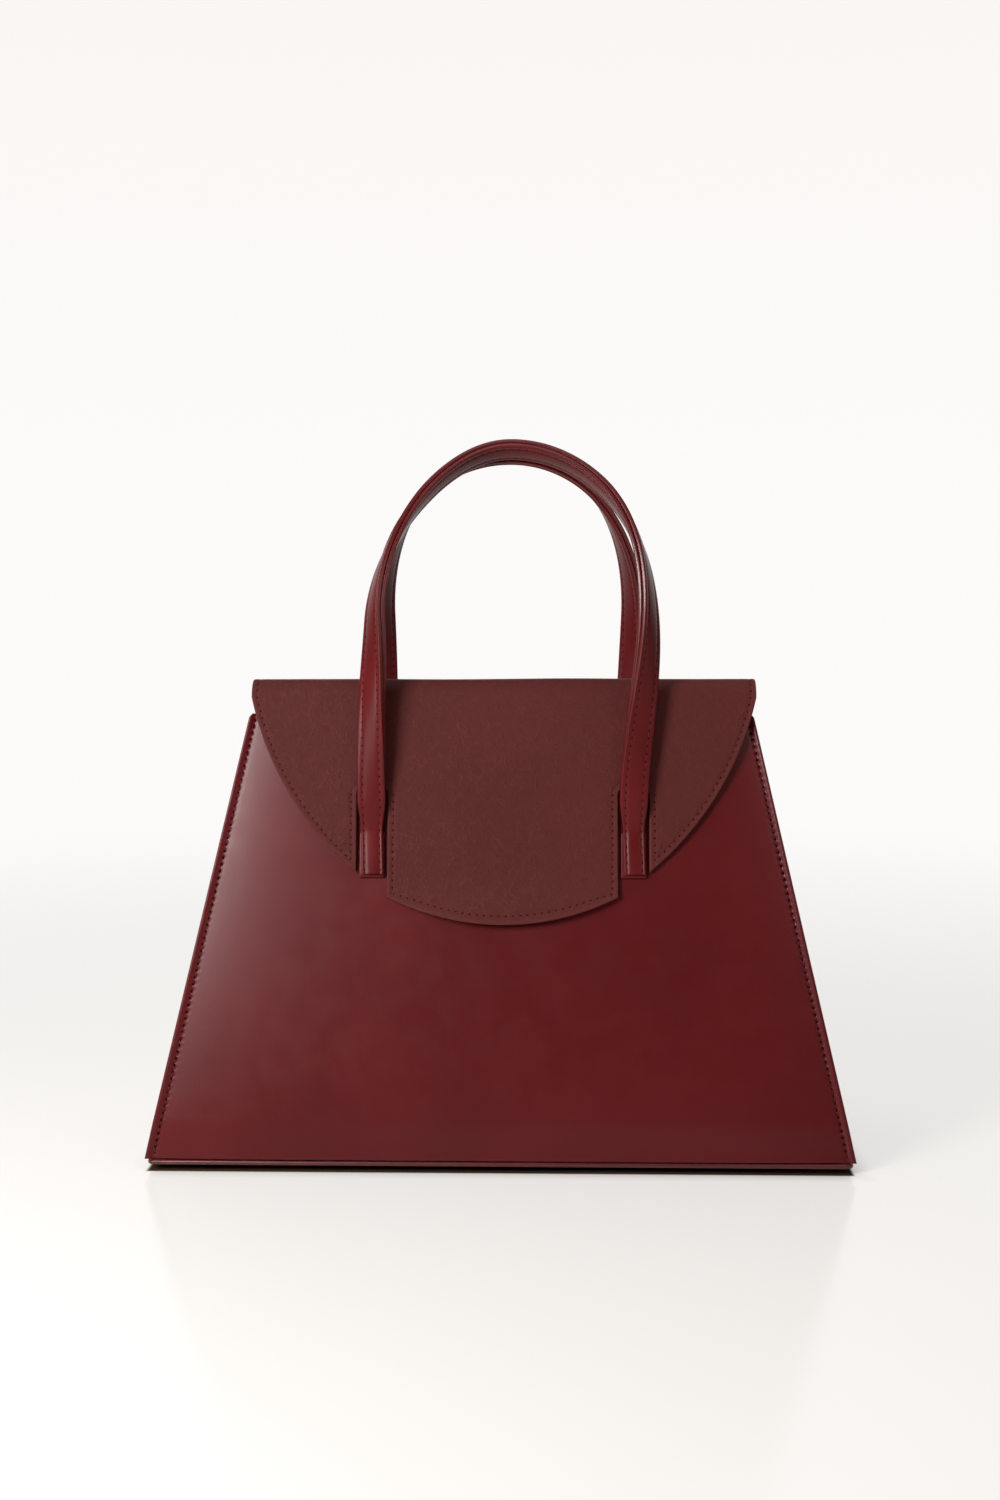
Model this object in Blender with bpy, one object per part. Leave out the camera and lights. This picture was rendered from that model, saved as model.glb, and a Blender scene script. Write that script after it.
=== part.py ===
# A structured top-handle bag with a fold-over flap, in metres, standing on the floor.
# The front faces -Y and +X is to the right of someone who looks at it.
import math

import bmesh
import bpy
from mathutils import Matrix, Vector

for old in list(bpy.data.objects):
    bpy.data.objects.remove(old, do_unlink=True)

# Body
base_width = 0.340          # across the side seams, at the bottom
top_width = 0.2465          # across the side seams, at the mouth
base_depth = 0.125          # over the two walls, at the bottom
mouth_depth = 0.048         # over the two walls, at the mouth
wall_height = 0.2133        # upright height of the walls
wall_leather = 0.0016
gusset_leather = 0.0014
seam_width = 0.0055         # outward seam allowance at the sides
corner_radius = 0.004
base_leather = 0.0022
board = 0.0012              # stiffener in each wall
base_board = 0.0024
lining_cloth = 0.0008
facing_depth = 0.028        # leather band inside the mouth
facing_leather = 0.0012

# Flap
flap_width = 0.2474
flap_rise = 0.0170          # top of the flap above the mouth
fold_radius = 0.009         # outer radius of both top folds
flap_leather = 0.0012
flap_backing = 0.0008
flap_stand = 0.0024         # from the front wall to the back of the flap
flap_drop = 0.1010          # tip of the tab below the mouth
anchor_depth = 0.028        # part of the flap that is sewn to the back wall
wing_drop = 0.0758          # tips of the wings below the mouth
wing_radius = 0.155
wing_start_drop = -0.0085   # where the side edge starts to curve in
tab_width = 0.1122
tab_corner_drop = 0.0877
slot_width = 0.0151
slot_top_drop = 0.0350      # closed end of a slot below the mouth
slot_corner = 0.0040
sewing_shift = 0.0012       # flap and straps sit a little to the right

# Straps
strap_width = 0.0136
strap_thickness = 0.0046
strap_layer = 0.0015        # sewn-down lower layer
end_layer = 0.0017          # sewn-down upper layer
end_width = 0.0104
end_drop = 0.0785           # lower edge of a sewn end, below the mouth
end_margin = 0.0020         # lower layer that shows below the upper one
crease_drop = 0.0573        # where a handle hinges, below the mouth
taper_length = 0.0155
handle_rise = 0.1865        # middle of the crown above the crease
back_crown_drop = 0.0022    # how much lower the back handle's crown lies
crown_gap = 0.0011          # between the two crowns
lean_power = 2.8            # how late a handle leans in over the mouth
twist_evenness = 0.6        # 1 turns a leg evenly all the way up

# Arches, each a half oval over two legs, its left and right halves bowed by their own powers
front_crown_shift = -0.0004
front_arch_height = 0.0848
front_left_half = 0.0623
front_right_half = 0.0716
front_left_power = 1.265
front_right_power = 0.872
front_drift_start = 0.0500  # a leg drifts sideways from this far above the crease
front_twist_start = 0.0105  # above the crease
front_twist_end = 0.1650
back_crown_shift = 0.0029
back_arch_height = 0.0801
back_left_half = 0.0664
back_right_half = 0.0629
back_left_power = 0.896
back_right_power = 0.874
back_drift_start = 0.0170
back_twist_start = 0.0040
back_twist_end = 0.1900

# Hardware
foot_height = 0.0030
foot_radius = 0.0060
foot_flat = 0.0040
foot_bevel_radius = 0.0054  # where a foot's lower edge is half turned
foot_bevel_height = 0.0008
foot_side_height = 0.0019
foot_inset_x = 0.022
foot_inset_y = 0.019
stem_radius = 0.0013
washer_radius = 0.0042
washer = 0.0008
snap_radius = 0.0070
snap_plate = 0.0009
stud_plate = 0.0006
stud_radius = 0.0016
stud_length = 0.0010
collar_radius = 0.0032
rivet_radius = 0.0012
stud_washer_radius = 0.0045
stud_washer = 0.0004
snap_drop = 0.0800          # middle of the snap below the mouth

# Pocket
pocket_width = 0.130
pocket_height = 0.095
pocket_drop = 0.045         # opening of the pocket below the mouth
pocket_cloth = 0.0009

gap = 0.0003                # left between touching pieces
hole_gap = 0.0003           # round stems and rivets
round_sides = 24
corner_steps = 4
fold_steps = 6
wing_steps = 14
tab_steps = 24
strap_stations = 68
path_step = 0.002           # share of a handle over which its direction is taken
strap_columns = 4

# What follows from the sizes above
wall_foot = foot_height + base_leather + gap
wall_top = wall_foot + wall_height
lean = math.atan2((base_depth - mouth_depth) / 2, wall_height)
wall_length = wall_height / math.cos(lean)
side_slope = (base_width - top_width) / 2 / wall_height
board_top = wall_foot + base_board
flap_stack = flap_backing + gap + flap_leather
flap_offset = flap_stand + flap_stack
back_offset = gap + flap_stack
end_offset = gap + strap_layer + gap + end_layer
crease_length = wall_length - crease_drop / math.cos(lean)
flap_top = wall_top + flap_rise
fold_level = flap_top - fold_radius * (1 - math.sin(lean))
fold_arc = fold_radius * (math.pi / 2 - lean)
stem_top = board_top + gap + washer


def half_width(z):
    return base_width / 2 - side_slope * (z - wall_foot)


def half_depth(z):
    return base_depth / 2 - math.tan(lean) * (z - wall_foot)


def smooth(share):
    return share * share * (3 - 2 * share)


def down(drop):
    # distance along a wall from its foot to a point this far below the mouth
    return wall_length - drop / math.cos(lean)


def wall_frame(side):
    # x across, second axis up along the wall, third axis outward
    up = Vector((0, -side * math.sin(lean), math.cos(lean)))
    out = Vector((0, side * math.cos(lean), math.sin(lean)))
    across = Vector((1, 0, 0))
    foot = Vector((0, side * base_depth / 2, wall_foot))
    frame = Matrix((across, up, out)).transposed().to_4x4()
    frame.translation = foot
    return frame


def leather(name, color, roughness, metallic=0.0):
    material = bpy.data.materials.new(name)
    material.use_nodes = True
    shader = material.node_tree.nodes["Principled BSDF"]
    shader.inputs["Base Color"].default_value = (*color, 1.0)
    shader.inputs["Roughness"].default_value = roughness
    shader.inputs["Metallic"].default_value = metallic
    return material


burgundy = leather("body_leather", (0.107, 0.013, 0.015), 0.42)
flap_matte = leather("flap_leather", (0.102, 0.026, 0.023), 0.72)
strap_gloss = leather("strap_leather", (0.110, 0.014, 0.016), 0.35)
lining_fabric = leather("lining_cloth", (0.16, 0.10, 0.08), 0.85)
cardboard = leather("stiffener_board", (0.42, 0.33, 0.23), 0.9)
nickel = leather("nickel", (0.62, 0.60, 0.57), 0.3, 1.0)
steel = leather("washer_steel", (0.45, 0.45, 0.46), 0.4, 1.0)


def finish(name, mesh, material, origin=None):
    mesh.normal_update()
    data = bpy.data.meshes.new(name)
    mesh.to_mesh(data)
    mesh.free()
    if origin is not None:
        data.transform(Matrix.Translation(-origin))
    data.shade_smooth()
    data.set_sharp_from_angle(angle=math.radians(30))
    item = bpy.data.objects.new(name, data)
    bpy.context.collection.objects.link(item)
    if origin is not None:
        item.location = origin
    item.data.materials.append(material)
    return item


def rounded(corners, radii, steps=corner_steps):
    # an outline whose corners are replaced by arcs
    outline = []
    count = len(corners)
    for index, radius in enumerate(radii):
        here = Vector(corners[index])
        before = (Vector(corners[index - 1]) - here).normalized()
        after = (Vector(corners[(index + 1) % count]) - here).normalized()
        if radius == 0:
            outline.append(here)
            continue
        half_angle = before.angle(after) / 2
        middle = here + (before + after).normalized() * radius / math.sin(half_angle)
        start = here + before * radius / math.tan(half_angle) - middle
        end = here + after * radius / math.tan(half_angle) - middle
        sweep = math.atan2(start.cross(end), start.dot(end))
        for step in range(steps + 1):
            outline.append(middle + Matrix.Rotation(sweep * step / steps, 2) @ start)
    return outline


def sheet(outline, thickness, offset):
    # a flat plate between two offsets from its plane
    mesh = bmesh.new()
    corners = [mesh.verts.new((x, y, offset)) for x, y in outline]
    face = mesh.faces.new(corners)
    made = bmesh.ops.extrude_face_region(mesh, geom=[face])["geom"]
    lifted = [item for item in made if isinstance(item, bmesh.types.BMVert)]
    bmesh.ops.translate(mesh, verts=lifted, vec=(0, 0, thickness))
    bmesh.ops.recalc_face_normals(mesh, faces=mesh.faces)
    return mesh


def wall_plate(name, side, outline, thickness, offset, material):
    mesh = sheet(outline, thickness, offset)
    bmesh.ops.transform(mesh, matrix=wall_frame(side), verts=mesh.verts)
    bmesh.ops.recalc_face_normals(mesh, faces=mesh.faces)
    return finish(name, mesh, material)


def turned(name, profile, frame, material, origin=None):
    # a profile of radius and height, spun round the frame's third axis
    mesh = bmesh.new()
    points = [mesh.verts.new((radius, 0, height)) for radius, height in profile]
    pairs = list(zip(points, points[1:]))
    if profile[0][0] > 0:
        pairs.append((points[-1], points[0]))
    edges = [mesh.edges.new(pair) for pair in pairs]
    bmesh.ops.spin(mesh, geom=points + edges, cent=(0, 0, 0), axis=(0, 0, 1),
                   angle=math.tau, steps=round_sides, use_merge=True)
    bmesh.ops.remove_doubles(mesh, verts=mesh.verts, dist=1e-6)
    bmesh.ops.recalc_face_normals(mesh, faces=mesh.faces)
    bmesh.ops.transform(mesh, matrix=frame, verts=mesh.verts)
    bmesh.ops.recalc_face_normals(mesh, faces=mesh.faces)
    return finish(name, mesh, material, origin)


def helper(item):
    item.hide_render = True
    item.display_type = "WIRE"
    return item


def cut(item, cutter):
    hole = item.modifiers.new("hole", "BOOLEAN")
    hole.operation = "DIFFERENCE"
    hole.object = cutter


def wall_outline(inset, low, high, radius):
    # the trapezoid of a wall, inside the side seams by inset
    def half(length):
        return half_width(wall_foot + length * math.cos(lean)) - inset
    corners = [(-half(low), low), (half(low), low), (half(high), high), (-half(high), high)]
    return rounded(corners, [0, 0, radius, radius])


def build_walls():
    for side, name in ((-1, "front"), (1, "back")):
        foot = wall_leather * math.tan(lean)
        outline = wall_outline(0, foot, wall_length, corner_radius)
        panel = wall_plate(name + "_panel", side, outline, wall_leather, -wall_leather, burgundy)
        inset = seam_width + gusset_leather + gap
        depth = wall_leather + gap + board
        low = (base_board + gap) / math.cos(lean) + depth * math.tan(lean)
        outline = wall_outline(inset, low, wall_length, 0)
        stiffener = wall_plate(name + "_stiffener", side, outline, board, -depth, cardboard)
        if side == -1:
            walls = panel, stiffener
    return walls


def build_gussets():
    # a channel whose two edges turn outward against the walls
    skew = math.cos(lean)
    for sign, name in ((-1, "left"), (1, "right")):
        mesh = bmesh.new()
        rings = []
        for z in (wall_foot, wall_top):
            edge = half_width(z)
            web = edge - seam_width
            outer = half_depth(z) - (wall_leather + gap) / skew
            inner = outer - gusset_leather / skew
            section = [(edge, -outer), (edge, -inner), (web, -inner), (web, inner),
                       (edge, inner), (edge, outer), (web - gusset_leather, outer),
                       (web - gusset_leather, -outer)]
            corners = [mesh.verts.new((sign * x, y, z)) for x, y in section]
            count = len(corners)
            rings += [mesh.edges.new((corners[i], corners[(i + 1) % count])) for i in range(count)]
            mesh.faces.new(corners)
        bmesh.ops.bridge_loops(mesh, edges=rings)
        bmesh.ops.recalc_face_normals(mesh, faces=mesh.faces)
        finish(name + "_gusset", mesh, burgundy)


def box_outline(half_x, half_y, radius):
    corners = [(-half_x, -half_y), (half_x, -half_y), (half_x, half_y), (-half_x, half_y)]
    return rounded(corners, [radius] * 4)


def build_base(stem_cutter):
    panel = sheet(box_outline(base_width / 2, base_depth / 2, corner_radius), base_leather, foot_height)
    cut(finish("base_panel", panel, burgundy), stem_cutter)
    half_x = half_width(board_top) - seam_width - gusset_leather - gap
    half_y = half_depth(board_top) - (wall_leather + gap) / math.cos(lean)
    plate = sheet(box_outline(half_x, half_y, 0), base_board, wall_foot)
    cut(finish("base_board", plate, cardboard), stem_cutter)


def ring_shell(name, low, high, floor, inset, thickness, material):
    # walls that follow the bag's taper, with or without a floor
    mesh = bmesh.new()
    skew = math.cos(lean)

    def loop(z, depth):
        half_x = half_width(z) - seam_width - gusset_leather - gap - depth
        half_y = half_depth(z) - (inset + depth) / skew
        points = [mesh.verts.new((x, y, z)) for x, y in box_outline(half_x, half_y, 0)]
        return points, [mesh.edges.new((points[i - 1], points[i])) for i in range(4)]

    outer_low, outer_low_edges = loop(low, 0)
    _, outer_high_edges = loop(high, 0)
    _, inner_high_edges = loop(high, thickness)
    inner_low, inner_low_edges = loop(low + (thickness if floor else 0), thickness)
    bmesh.ops.bridge_loops(mesh, edges=outer_low_edges + outer_high_edges)
    bmesh.ops.bridge_loops(mesh, edges=outer_high_edges + inner_high_edges)
    bmesh.ops.bridge_loops(mesh, edges=inner_high_edges + inner_low_edges)
    if floor:
        mesh.faces.new(outer_low)
        mesh.faces.new(inner_low)
    else:
        bmesh.ops.bridge_loops(mesh, edges=inner_low_edges + outer_low_edges)
    bmesh.ops.recalc_face_normals(mesh, faces=mesh.faces)
    return finish(name, mesh, material)


def build_interior():
    inset = wall_leather + gap + board + gap
    floor = stem_top + gap
    split = wall_top - facing_depth
    ring_shell("lining", floor, split - gap, True, inset, lining_cloth, lining_fabric)
    ring_shell("mouth_facing", split, wall_top, False, inset, facing_leather, burgundy)
    high = down(pocket_drop)
    low = high - pocket_height
    corners = [(-pocket_width / 2, low), (pocket_width / 2, low), (pocket_width / 2, high),
               (-pocket_width / 2, high)]
    outline = rounded(corners, [corner_radius, corner_radius, 0, 0])
    depth = inset + lining_cloth + gap + pocket_cloth
    wall_plate("slip_pocket", 1, outline, pocket_cloth, -depth, lining_fabric)


def foot_places():
    x = base_width / 2 - foot_inset_x
    y = base_depth / 2 - foot_inset_y
    return {"front_left": (-x, -y), "front_right": (x, -y), "back_left": (-x, y), "back_right": (x, y)}


def build_feet():
    head = foot_height - gap
    mesh = bmesh.new()
    for x, y in foot_places().values():
        bmesh.ops.create_cone(mesh, cap_ends=True, segments=round_sides, radius1=stem_radius + hole_gap,
                              radius2=stem_radius + hole_gap, depth=2 * stem_top,
                              matrix=Matrix.Translation((x, y, stem_top)))
    cutter = helper(finish("stem_cutter", mesh, steel))
    for place, (x, y) in foot_places().items():
        spot = Matrix.Translation((x, y, 0))
        dome = [(0, 0), (foot_flat, 0), (foot_bevel_radius, foot_bevel_height),
                (foot_radius, foot_side_height), (foot_radius, head), (stem_radius, head),
                (stem_radius, stem_top), (0, stem_top)]
        turned("foot_" + place, dome, spot, nickel)
        inner = stem_radius + hole_gap
        ring = [(inner, board_top + gap), (washer_radius, board_top + gap),
                (washer_radius, stem_top), (inner, stem_top)]
        turned("foot_washer_" + place, ring, spot, steel)
    return cutter


def round_cutter(name, frame, radius, low, high):
    profile = [(0, low), (radius, low), (radius, high), (0, high)]
    return helper(turned(name, profile, frame, steel))


def build_snap_socket(front_panel, front_stiffener):
    frame = wall_frame(-1) @ Matrix.Translation((sewing_shift, down(snap_drop), 0))
    bore = stud_radius + hole_gap
    back = -wall_leather - gap - washer
    body = [(bore, back), (collar_radius, back), (collar_radius, gap), (snap_radius, gap),
            (snap_radius, gap + snap_plate), (bore, gap + snap_plate)]
    turned("snap_socket", body, frame, nickel)
    inner = collar_radius + hole_gap
    ring = [(inner, back), (snap_radius, back), (snap_radius, back + washer), (inner, back + washer)]
    turned("snap_socket_washer", ring, frame, steel)
    cut(front_panel, round_cutter("collar_cutter", frame, inner, 2 * back, snap_plate))
    window = snap_radius + hole_gap
    cut(front_stiffener, round_cutter("window_cutter", frame, window, 2 * back, -wall_leather / 2))


def hinge_point():
    return wall_frame(1) @ Vector((0, wall_length, back_offset))


def front_start():
    # where the flap leaves its front fold and runs down along the front wall
    frame = wall_frame(-1)
    foot = frame @ Vector((0, 0, flap_offset))
    up = frame.to_3x3() @ Vector((0, 1, 0))
    return foot + up * ((fold_level - foot.z) / up.z)


def fold_places():
    # how far the flap rises before its first fold, and the middles of its two folds
    hinge = hinge_point()
    lift = (fold_level - hinge.z) / math.cos(lean)
    back_y = hinge.y - lift * math.sin(lean) - fold_radius * math.cos(lean)
    return lift, back_y, front_start().y + fold_radius * math.cos(lean)


def flap_lengths():
    # distances from the hinge at which the flap's bends start and end
    lift, back_y, front_y = fold_places()
    far = lift + fold_arc + back_y - front_y
    return lift, lift + fold_arc, far, far + fold_arc


def flap_profile(station):
    # place and outward direction on the flap's outer face, by distance from the hinge
    _, back_y, front_y = fold_places()
    first, second, third, fourth = flap_lengths()
    if station < first:
        turned = wall_frame(1).to_3x3()
        return hinge_point() + turned @ Vector((0, station, 0)), turned @ Vector((0, 0, 1))
    if station < second or third <= station < fourth:
        start, angle, y = (first, lean, back_y) if station < second else (third, math.pi / 2, front_y)
        angle += (station - start) / fold_radius
        out = Vector((0, math.cos(angle), math.sin(angle)))
        return Vector((0, y, flap_top - fold_radius)) + out * fold_radius, out
    if station < third:
        return Vector((0, back_y - (station - second), flap_top)), Vector((0, 0, 1))
    turned = wall_frame(-1).to_3x3()
    return front_start() - turned @ Vector((0, station - fourth, 0)), turned @ Vector((0, 0, 1))


def arc_between(start, end, radius, steps):
    # a round arc that bulges to the right of the way from start to end
    start, end = Vector(start), Vector(end)
    half_chord = (end - start) / 2
    right = Vector((half_chord.y, -half_chord.x)).normalized()
    middle = start + half_chord - right * math.sqrt(radius ** 2 - half_chord.length ** 2)
    first, last = start - middle, end - middle
    sweep = math.atan2(first.cross(last), first.dot(last))
    return [middle + Matrix.Rotation(sweep * step / steps, 2) @ first for step in range(steps + 1)]


def flap_outline():
    # the flap laid flat: x across, y is the distance from the hinge
    front = flap_lengths()[3]
    mouth_level = front + (front_start().z - wall_top) / math.cos(lean)

    def station(drop):
        return mouth_level + drop / math.cos(lean)

    half = flap_width / 2
    slot_in = tab_width / 2
    slot_out = slot_in + slot_width
    wing = arc_between((half, station(wing_start_drop)), (slot_out, station(wing_drop)), wing_radius,
                       wing_steps)
    slot_top = station(slot_top_drop)
    slot = rounded([(slot_out, slot_top + slot_width), (slot_out, slot_top), (slot_in, slot_top),
                    (slot_in, slot_top + slot_width)], [0, slot_corner, slot_corner, 0])[1:-1]
    corner = station(tab_corner_drop)
    sag = station(flap_drop) - corner
    tab_radius = (slot_in ** 2 + sag ** 2) / (2 * sag)
    tab = arc_between((slot_in, corner), (-slot_in, corner), tab_radius, tab_steps)
    right = [(half, 0)] + wing + slot
    left = [(-x, y) for x, y in reversed(right)]
    return right + tab + left


def wrap_flap(name, outer, thickness, material, origin, outline):
    # bends a flat sheet over the flap's profile, the outer offset measured inward from its face
    mesh = sheet(outline, thickness, 0)
    first, second, third, fourth = flap_lengths()
    for low, high in ((first, second), (third, fourth)):
        for step in range(fold_steps + 1):
            level = low + (high - low) * step / fold_steps
            bmesh.ops.bisect_plane(mesh, geom=mesh.verts[:] + mesh.edges[:] + mesh.faces[:],
                                   plane_co=(0, level, 0), plane_no=(0, 1, 0), dist=1e-7)
    for vert in mesh.verts:
        place, out = flap_profile(vert.co.y)
        depth = outer + vert.co.z
        vert.co = Vector((vert.co.x + sewing_shift, place.y, place.z)) - out * depth
    mesh.normal_update()
    bmesh.ops.triangulate(mesh, faces=[face for face in mesh.faces if len(face.verts) > 4])
    bmesh.ops.recalc_face_normals(mesh, faces=mesh.faces)
    return finish(name, mesh, material, origin)


def build_flap():
    hinge = hinge_point()
    outline = flap_outline()
    outer = wrap_flap("flap_outer", 0, flap_leather, flap_matte, hinge, outline)
    backing = wrap_flap("flap_lining", flap_leather + gap, flap_backing, burgundy, hinge, outline)
    half = flap_width / 2
    low = wall_length - anchor_depth / math.cos(lean)
    strip = [(-half + sewing_shift, low), (half + sewing_shift, low),
             (half + sewing_shift, wall_length - gap), (-half + sewing_shift, wall_length - gap)]
    wall_plate("flap_anchor_strip", 1, rounded(strip, [corner_radius, corner_radius, 0, 0]),
               flap_stack, gap, flap_matte)
    frame = wall_frame(-1) @ Matrix.Translation((sewing_shift, down(snap_drop), 0))
    face = flap_stand - gap
    rear = flap_stand + flap_backing + gap
    stud = [(0, face - stud_plate - stud_length), (stud_radius, face - stud_plate - stud_length),
            (stud_radius, face - stud_plate), (snap_radius, face - stud_plate), (snap_radius, face),
            (rivet_radius, face), (rivet_radius, rear + stud_washer), (0, rear + stud_washer)]
    turned("snap_stud", stud, frame, nickel, hinge)
    inner = rivet_radius + hole_gap
    ring = [(inner, rear), (stud_washer_radius, rear), (stud_washer_radius, rear + stud_washer),
            (inner, rear + stud_washer)]
    turned("snap_stud_washer", ring, frame, steel, hinge)
    cut(backing, round_cutter("rivet_cutter", frame, inner, face, rear + gap))
    pocket = stud_washer_radius + hole_gap
    cut(outer, round_cutter("pocket_cutter", frame, pocket, rear - gap, rear + stud_washer + gap))


def strap_places():
    middle = tab_width / 2 + slot_width / 2
    return {"left": -middle + sewing_shift, "right": middle + sewing_shift}


def build_strap_ends():
    for side, wall in ((-1, "front"), (1, "back")):
        for place, x in strap_places().items():
            low = down(end_drop)
            corners = [(x - strap_width / 2, low), (x + strap_width / 2, low),
                       (x + strap_width / 2, crease_length), (x - strap_width / 2, crease_length)]
            wall_plate(f"strap_base_{wall}_{place}", side, corners, strap_layer, gap, strap_gloss)
            corners = [(x - end_width / 2, low + end_margin), (x + end_width / 2, low + end_margin),
                       (x + end_width / 2, crease_length - gap), (x - end_width / 2, crease_length - gap)]
            wall_plate(f"strap_end_{wall}_{place}", side, corners, end_layer,
                       gap + strap_layer + gap, strap_gloss)


def crease_point(side):
    return wall_frame(side) @ Vector((0, crease_length, end_offset))


def handle_rise_of(side):
    return handle_rise - (back_crown_drop if side == 1 else 0)


def arch_of(side):
    if side == -1:
        return (front_crown_shift, front_arch_height, (front_left_half, front_right_half),
                (front_left_power, front_right_power), front_drift_start)
    return (back_crown_shift, back_arch_height, (back_left_half, back_right_half),
            (back_left_power, back_right_power), back_drift_start)


def handle_path(side, share):
    # middle line of a handle, from the left crease over the crown to the right crease
    crown_shift, arch_height, halves, powers, drift_start = arch_of(side)
    rise = handle_rise_of(side)
    spring = rise - arch_height
    arc_length = math.pi / 2 * (sum(halves) / 2 + arch_height) / 2
    leg = spring / (spring + arc_length) / 2
    middle = crown_shift + sewing_shift
    sign, place = (-1, "left") if share < 1 / 2 else (1, "right")
    half, power = (halves[0], powers[0]) if share < 1 / 2 else (halves[1], powers[1])
    if share < leg or share > 1 - leg:
        height = spring * min(share, 1 - share) / leg
        climb = max(height - drift_start, 0) / (spring - drift_start)
        start = strap_places()[place]
        x = start + (middle + sign * half - start) * smooth(climb)
    else:
        angle = math.pi * (share - leg) / (1 - 2 * leg)
        x = middle + sign * half * abs(math.cos(angle)) ** power
        height = spring + arch_height * math.sin(angle)
    outward, inward = handle_lean(side, height / rise)
    return Vector((x, side * (outward - inward), crease_point(side).z + gap + height))


def handle_lean(side, climb):
    # how far a handle starts from the middle of the bag, and how far it has leaned in
    reach = math.hypot(strap_width, strap_thickness) / 2 + crown_gap / 2
    outward = abs(crease_point(side).y) + (strap_thickness / 2 - end_layer) * math.cos(lean)
    return outward, (outward - reach) * climb ** lean_power


def handle_frame(side, share):
    # place, face direction and width direction of the strap
    step = path_step
    before = handle_path(side, max(share - step, 0))
    after = handle_path(side, min(share + step, 1))
    along = (after - before).normalized()
    place = handle_path(side, share)
    height = place.z - crease_point(side).z
    twist_start = front_twist_start if side == -1 else back_twist_start
    twist_end = front_twist_end if side == -1 else back_twist_end
    turn = min(max((height - twist_start) / (twist_end - twist_start), 0), 1)
    angle = math.pi / 2 * (twist_evenness * turn + (1 - twist_evenness) * smooth(turn))
    rise = handle_rise_of(side)
    climb = max(height - gap, 0) / rise
    slope = (handle_lean(side, climb + step)[1] - handle_lean(side, climb)[1]) / (step * rise)
    face = Vector((0, side, slope)).normalized()
    face = (face - along * face.dot(along)).normalized()
    sideways = face.cross(along)
    middle = arch_of(side)[0] + sewing_shift
    outward = Vector((place.x - middle, 0, max(height - rise + arch_of(side)[1], 0)))
    if sideways.dot(outward) < 0:
        sideways = -sideways
    normal = face * math.cos(angle) + sideways * math.sin(angle)
    return place, normal, normal.cross(along)


def build_handle(side, name):
    hinge = crease_point(side)
    for layer, label in ((1, "outer"), (-1, "inner")):
        mesh = bmesh.new()
        rings = []
        for index in range(strap_stations + 1):
            place, normal, across = handle_frame(side, index / strap_stations)
            climb = min((place.z - hinge.z) / taper_length, 1)
            full = end_layer + (strap_thickness - end_layer) * climb
            low = -strap_thickness / 2
            middle = low + full / 2
            if layer == 1:
                span = middle + gap / 2, low + full
            else:
                span = low, middle - gap / 2
            shares = [2 * step / strap_columns - 1 for step in range(strap_columns + 1)]
            section = [(share, span[0]) for share in shares]
            section += [(share, span[1]) for share in reversed(shares)]
            corners = [mesh.verts.new(place + across * (share * strap_width / 2) + normal * depth)
                       for share, depth in section]
            rings.append([mesh.edges.new((corners[i - 1], corners[i])) for i in range(len(corners))])
            if index in (0, strap_stations):
                mesh.faces.new(corners)
        for low_ring, high_ring in zip(rings, rings[1:]):
            bmesh.ops.bridge_loops(mesh, edges=low_ring + high_ring)
        bmesh.ops.recalc_face_normals(mesh, faces=mesh.faces)
        finish(f"{name}_{label}", mesh, strap_gloss, hinge)


front_panel, front_stiffener = build_walls()
build_gussets()
build_base(build_feet())
build_interior()
build_snap_socket(front_panel, front_stiffener)
build_flap()
build_strap_ends()
build_handle(-1, "front_handle")
build_handle(1, "back_handle")
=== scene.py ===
# A burgundy leather bag with two top handles and a fold-over flap, dressed around its
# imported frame. Metres, +Z up. The front faces -Y and +X is to the right.
import bisect
import math

import bmesh
import bpy
from mathutils import Matrix, Vector, noise


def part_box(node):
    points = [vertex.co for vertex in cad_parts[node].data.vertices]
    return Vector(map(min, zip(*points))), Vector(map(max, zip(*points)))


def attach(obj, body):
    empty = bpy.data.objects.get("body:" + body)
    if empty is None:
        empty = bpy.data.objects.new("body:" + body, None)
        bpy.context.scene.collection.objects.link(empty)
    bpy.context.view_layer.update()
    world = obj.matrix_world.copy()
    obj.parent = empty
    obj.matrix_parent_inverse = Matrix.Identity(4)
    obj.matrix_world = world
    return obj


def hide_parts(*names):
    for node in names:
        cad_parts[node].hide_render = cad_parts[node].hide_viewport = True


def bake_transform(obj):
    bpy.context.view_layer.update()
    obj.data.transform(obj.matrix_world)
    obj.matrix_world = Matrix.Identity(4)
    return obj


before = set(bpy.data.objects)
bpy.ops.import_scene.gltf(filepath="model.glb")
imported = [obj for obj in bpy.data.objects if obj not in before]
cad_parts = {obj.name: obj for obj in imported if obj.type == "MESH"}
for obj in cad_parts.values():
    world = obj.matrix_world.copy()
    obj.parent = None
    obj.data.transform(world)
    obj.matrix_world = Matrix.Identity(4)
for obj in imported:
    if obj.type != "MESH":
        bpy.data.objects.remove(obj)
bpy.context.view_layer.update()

wallLow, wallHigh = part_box("front_panel")
baseLow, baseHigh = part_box("base_panel")

bag = {
    "foot": wallLow.z,              # lower edge of the walls
    "mouth": wallHigh.z,
    "baseWidth": baseHigh.x - baseLow.x,
    "mouthWidth": 0.2465,
    "baseDepth": baseHigh.y - baseLow.y,
    "mouthDepth": 0.048,
    "seam": 0.0055,                 # leather left outside the gusset's web
    "shift": 0.0012,                # flap and straps sit a little to the right
    "gap": 0.0003,
    "snapDrop": 0.0800,
}
wallHeight = bag["mouth"] - bag["foot"]
lean = math.atan2((bag["baseDepth"] - bag["mouthDepth"]) / 2, wallHeight)
wallLength = wallHeight / math.cos(lean)


def halfWidth(z):
    slope = (bag["baseWidth"] - bag["mouthWidth"]) / 2 / wallHeight
    return bag["baseWidth"] / 2 - slope * (z - bag["foot"])


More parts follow.
